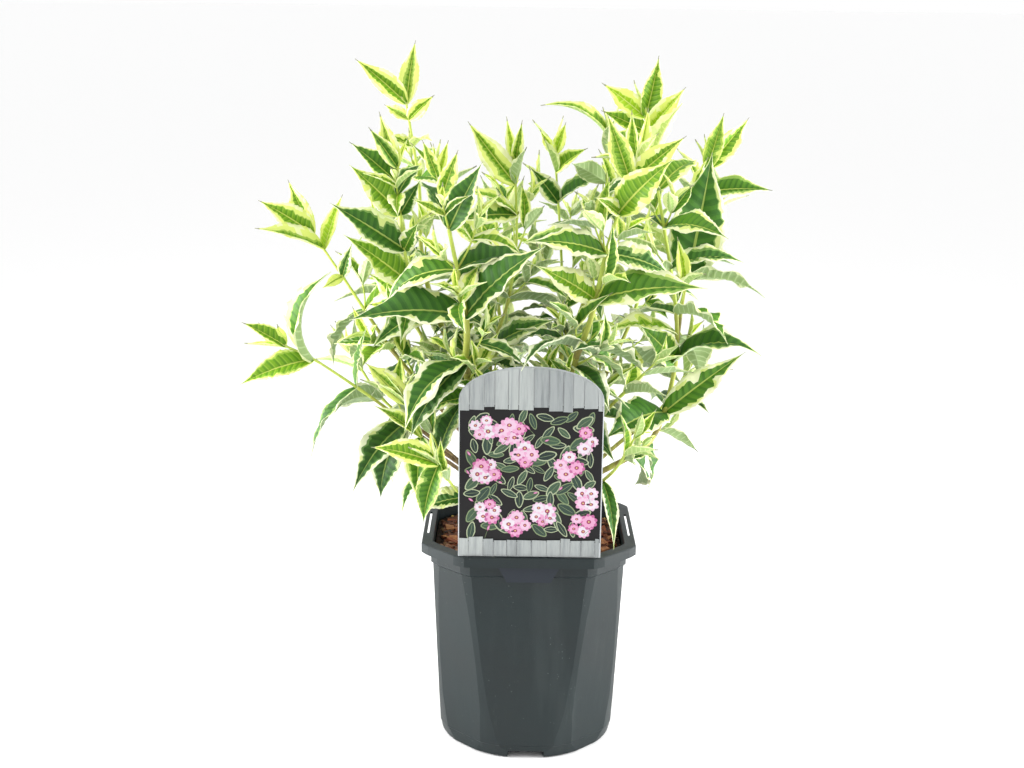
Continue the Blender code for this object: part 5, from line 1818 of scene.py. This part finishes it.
def make_board():
    """The card's thin board with its tongue."""
    bm = bmesh.new()
    foot = POT_HEIGHT + GAP
    board = bm.faces.new([bm.verts.new((x, CARD_FACE, z)) for x, z in card_outline()])
    turn_to_front(board, 0)
    grown = bmesh.ops.extrude_face_region(bm, geom=[board])["geom"]
    moved = [g for g in grown if isinstance(g, bmesh.types.BMVert)]
    bmesh.ops.translate(bm, vec=(0, CARD_THICKNESS, 0), verts=moved)
    bmesh.ops.bisect_plane(bm, geom=bm.verts[:] + bm.edges[:] + bm.faces[:], plane_co=(0, 0, foot),
                           plane_no=(0, 0, 1), dist=1e-7)
    bmesh.ops.recalc_face_normals(bm, faces=bm.faces)
    for face in bm.faces:
        face.material_index = 1 if face.calc_center_median().z < POT_HEIGHT + 0.5 * GAP else 0
    white = print_finish("card edge", linear(196, 200, 202))
    # The tongue below the rim is dark slate, painted shade for where it sits in the pot's slot.
    slate = print_finish("tongue", linear(32, 38, 46), 0.4)
    finished("card_board", bm, [white, slate], ("plant_card",))


def picture_area(side, foot, top):
    """The half width, the foot and the top of the picture, less three margins."""
    return CARD_HALF - FACE_MARGIN - side, BOARD_FOOT + foot, BOARD_TOP - top


def make_print():
    """The planks and the blossom pattern printed on the card."""
    rng = random.Random("card")
    bm = bmesh.new()
    skin = {name: len(PLANK_COLOURS) + i for i, name in enumerate(PRINT_COLOURS)}
    inner, foot, top = picture_area(0, -GROUND_MORE, -GROUND_MORE)
    ground = [(-inner, foot), (inner, foot), (inner, top), (-inner, top)]
    flat_patch(bm, ground, GROUND_LAYER, skin["picture ground"])
    make_planks(bm, rng)
    for i, at in enumerate(spread_places(rng, PICTURE_LEAVES, *picture_area(*LEAVES_WITHIN))):
        rim = skin[rng.choice(("leaf rim pale", "leaf rim pale", "leaf rim green"))]
        blade = skin[rng.choice(("print leaf", "print leaf deep", "print leaf mid"))]
        picture_leaf(bm, rng, at, LEAF_LAYER + i, (rim, blade, skin["leaf rim green"]))
    for i, at in enumerate(clustered_places(rng, *picture_area(*FLOWERS_WITHIN))):
        pale, deep = rng.choice((("petal pink", "petal rose"), ("petal white", "petal blush"),
                                 ("petal blush", "petal pink"), ("petal white", "petal pink")))
        skins = (skin[pale], skin[deep], skin["petal eye"], skin["petal heart"])
        rosette(bm, rng, at, rng.uniform(8.5, 13.5) * MM, FLOWER_LAYER + 2.3 * i, skins)
    skins = (skin["petal rose"], skin["petal pink"], skin["leaf rim green"])
    for at in spread_places(rng, PICTURE_BUDS, *picture_area(*BUDS_WITHIN)):
        picture_bud(bm, rng, at, BUD_LAYER, skins)
    bmesh.ops.solidify(bm, geom=bm.faces[:], thickness=PRINT_THICKNESS)
    boards = [board_finish(f"painted plank {i}", linear(*paint), linear(*stain))
              for i, (paint, stain) in enumerate(PLANK_COLOURS)]
    prints = [print_finish(name, linear(*colour)) for name, colour in PRINT_COLOURS.items()]
    finished("card_print", bm, boards + prints)


# Stage

CAMERA_AT = Vector((-0.0150, -1.25, 0.5941))
CAMERA_PITCH = 0.2366
CAMERA_ROLL = -0.0135
CAMERA_LENS = 56.16
CAMERA_CLIP = (0.05, 300)
FLOOR_HALF = 120.0
FLOOR_DROP = 0.4 * MM

# Each softbox: its place, what it is aimed at, its size, and its factor of the key power.
SOFTBOXES = (
    ("left softbox", (-0.95, -0.05, 0.4), (0, 0, 0.12), 0.8, 2.1),
    ("right softbox", (0.95, -0.05, 0.4), (0, 0, 0.12), 0.8, 2.1),
    ("top softbox", (-0.3, -0.5, 1.9), (0, 0, 0.3), 1.4, 0.75),
)


def make_camera(scene):
    """The camera that was fitted to the photo."""
    camera = bpy.data.cameras.new("camera")
    camera.sensor_width = 36
    camera.lens = CAMERA_LENS
    camera.clip_start, camera.clip_end = CAMERA_CLIP
    obj = bpy.data.objects.new("camera", camera)
    ahead = Vector((0, math.cos(CAMERA_PITCH), -math.sin(CAMERA_PITCH)))
    level_up = Vector((0, math.sin(CAMERA_PITCH), math.cos(CAMERA_PITCH)))
    right = Vector((math.cos(CAMERA_ROLL), 0, 0)) - level_up * math.sin(CAMERA_ROLL)
    up = Vector((math.sin(CAMERA_ROLL), 0, 0)) + level_up * math.cos(CAMERA_ROLL)
    turn = Matrix((right, up, -ahead)).transposed().to_4x4()
    obj.matrix_world = Matrix.Translation(CAMERA_AT) @ turn
    scene.collection.objects.link(obj)
    scene.camera = obj


def make_floor(scene):
    bm = bmesh.new()
    bmesh.ops.create_grid(bm, x_segments=1, y_segments=1, size=FLOOR_HALF)
    bmesh.ops.translate(bm, vec=(0, 0, -FLOOR_DROP), verts=bm.verts)
    paper = Finish("white paper", linear(252, 252, 252), 0.6, Specular_IOR_Level=0.1)
    floor = object_of("floor", bm, [paper.material])
    scene.collection.objects.link(floor)


def make_lights(scene, look):
    """White surroundings and three softboxes."""
    world = bpy.data.worlds.new("studio")
    world.use_nodes = True
    background = world.node_tree.nodes["Background"]
    background.inputs["Color"].default_value = (1, 1, 1, 1)
    background.inputs["Strength"].default_value = look.sky_strength
    scene.world = world
    for name, place, aim, size, factor in SOFTBOXES:
        lamp = bpy.data.lights.new(name, "AREA")
        lamp.shape = "DISK"
        lamp.size = size
        lamp.energy = factor * look.key_power
        light = bpy.data.objects.new(name, lamp)
        light.location = place
        light.rotation_mode = "QUATERNION"
        light.rotation_quaternion = (Vector(aim) - Vector(place)).to_track_quat("-Z", "Y")
        scene.collection.objects.link(light)


# Add-on

def colour_property(name, description, *srgb):
    return FloatVectorProperty(name=name, description=description, subtype="COLOR", size=3, min=0, max=1,
                               default=linear(*srgb))


class WeigelaSettings(bpy.types.PropertyGroup):
    """What a user would change about the plant, its pot and its studio."""

    pot: colour_property("Pot", "The pot's plastic", 12, 28, 30)
    pot_dark: colour_property("Pot in cloud", "Darker clouds of the pot's plastic", 10, 24, 26)
    pot_dust: colour_property("Dust", "Dust and scuffs on the pot", 72, 80, 80)
    pot_speck: colour_property("Specks", "Fine specks on the pot", 120, 126, 122)
    bark: colour_property("Bark", "The older canes' bark", 126, 104, 68)
    bark_dark: colour_property("Bark furrows", "Dark furrows of the bark", 78, 58, 42)
    bark_pale: colour_property("Bark ridges", "Pale ridges and pores of the bark", 172, 148, 112)
    peat: colour_property("Peat", "The fine mix between the chips", 70, 44, 34)
    # The darkest peat is partly painted shade in the gaps between the chips.
    peat_dark_and_gap_shade: colour_property("Peat gaps", "The darkest gaps of the mix", 26, 17, 14)
    chip_brown: colour_property("Crumbs", "Pale crumbs of bark in the mix", 120, 76, 54)
    stem_young: colour_property("Young stems", "Stems near the tips", 184, 200, 86)
    stem: colour_property("Stems", "Stems half way down", 166, 172, 74)
    stem_old: colour_property("Old stems", "Stems near the wood", 140, 130, 66)
    sky_strength: FloatProperty(name="Sky", description="Strength of the surroundings", default=1.0, min=0)
    key_power: FloatProperty(name="Key light", description="Power of one softbox, before its factor",
                             default=7.0, min=0, unit="POWER")
    exposure: FloatProperty(name="Exposure", description="Stops added to the picture", default=0.0)


class Maker:
    bl_options = {"REGISTER", "UNDO"}


class WEIGELA_OT_pot(Maker, bpy.types.Operator):
    """Make the moulded nursery pot"""

    bl_idname = "weigela.pot"
    bl_label = "Nursery Pot"

    def execute(self, context):
        make_pot(context.scene.weigela)
        return {"FINISHED"}


class WEIGELA_OT_mix(Maker, bpy.types.Operator):
    """Make the potting mix with its bark chips and grains of feed"""

    bl_idname = "weigela.mix"
    bl_label = "Potting Mix"

    def execute(self, context):
        make_mix(context.scene.weigela)
        return {"FINISHED"}


class WEIGELA_OT_card(Maker, bpy.types.Operator):
    """Make the picture card in the pot's rim"""

    bl_idname = "weigela.card"
    bl_label = "Picture Card"

    def execute(self, context):
        make_board()
        make_print()
        return {"FINISHED"}


class WEIGELA_OT_plant(Maker, bpy.types.Operator):
    """Grow the wood, the green stems, the twigs and the leaves"""

    bl_idname = "weigela.plant"
    bl_label = "Plant"

    def execute(self, context):
        look = context.scene.weigela
        plant = Plant()
        skins = [stem_finish("young stem", look.stem_young), stem_finish("stem", look.stem),
                 stem_finish("old stem", look.stem_old)]
        bark = bark_finish(look)
        make_boughs(plant, bark)
        make_trunk(bark)
        make_green_stems(plant, skins)
        make_twigs(plant, skins)
        make_leaves(plant)
        return {"FINISHED"}


class WEIGELA_OT_stage(Maker, bpy.types.Operator):
    """Set the floor, the lights and the camera"""

    bl_idname = "weigela.stage"
    bl_label = "Studio"

    def execute(self, context):
        scene = context.scene
        make_camera(scene)
        make_floor(scene)
        make_lights(scene, scene.weigela)
        scene.view_settings.view_transform = "Standard"
        scene.view_settings.exposure = scene.weigela.exposure
        return {"FINISHED"}


class WEIGELA_PT_panel(bpy.types.Panel):
    """Lists the makers and the settings"""

    bl_idname = "WEIGELA_PT_panel"
    bl_label = "Weigela"
    bl_space_type = "VIEW_3D"
    bl_region_type = "UI"
    bl_category = "Weigela"

    def draw(self, context):
        for operator in OPERATORS:
            self.layout.operator(operator.bl_idname)
        for name in WeigelaSettings.__annotations__:
            self.layout.prop(context.scene.weigela, name)


OPERATORS = (WEIGELA_OT_stage, WEIGELA_OT_pot, WEIGELA_OT_mix, WEIGELA_OT_card, WEIGELA_OT_plant)
CLASSES = (WeigelaSettings,) + OPERATORS + (WEIGELA_PT_panel,)


def register():
    for each in CLASSES:
        bpy.utils.register_class(each)
    bpy.types.Scene.weigela = PointerProperty(type=WeigelaSettings)


def unregister():
    del bpy.types.Scene.weigela
    for each in reversed(CLASSES):
        bpy.utils.unregister_class(each)


def main():
    register()
    bpy.ops.weigela.stage()
    bpy.ops.weigela.pot()
    bpy.ops.weigela.mix()
    bpy.ops.weigela.card()
    bpy.ops.weigela.plant()


if __name__ == "__main__":
    main()
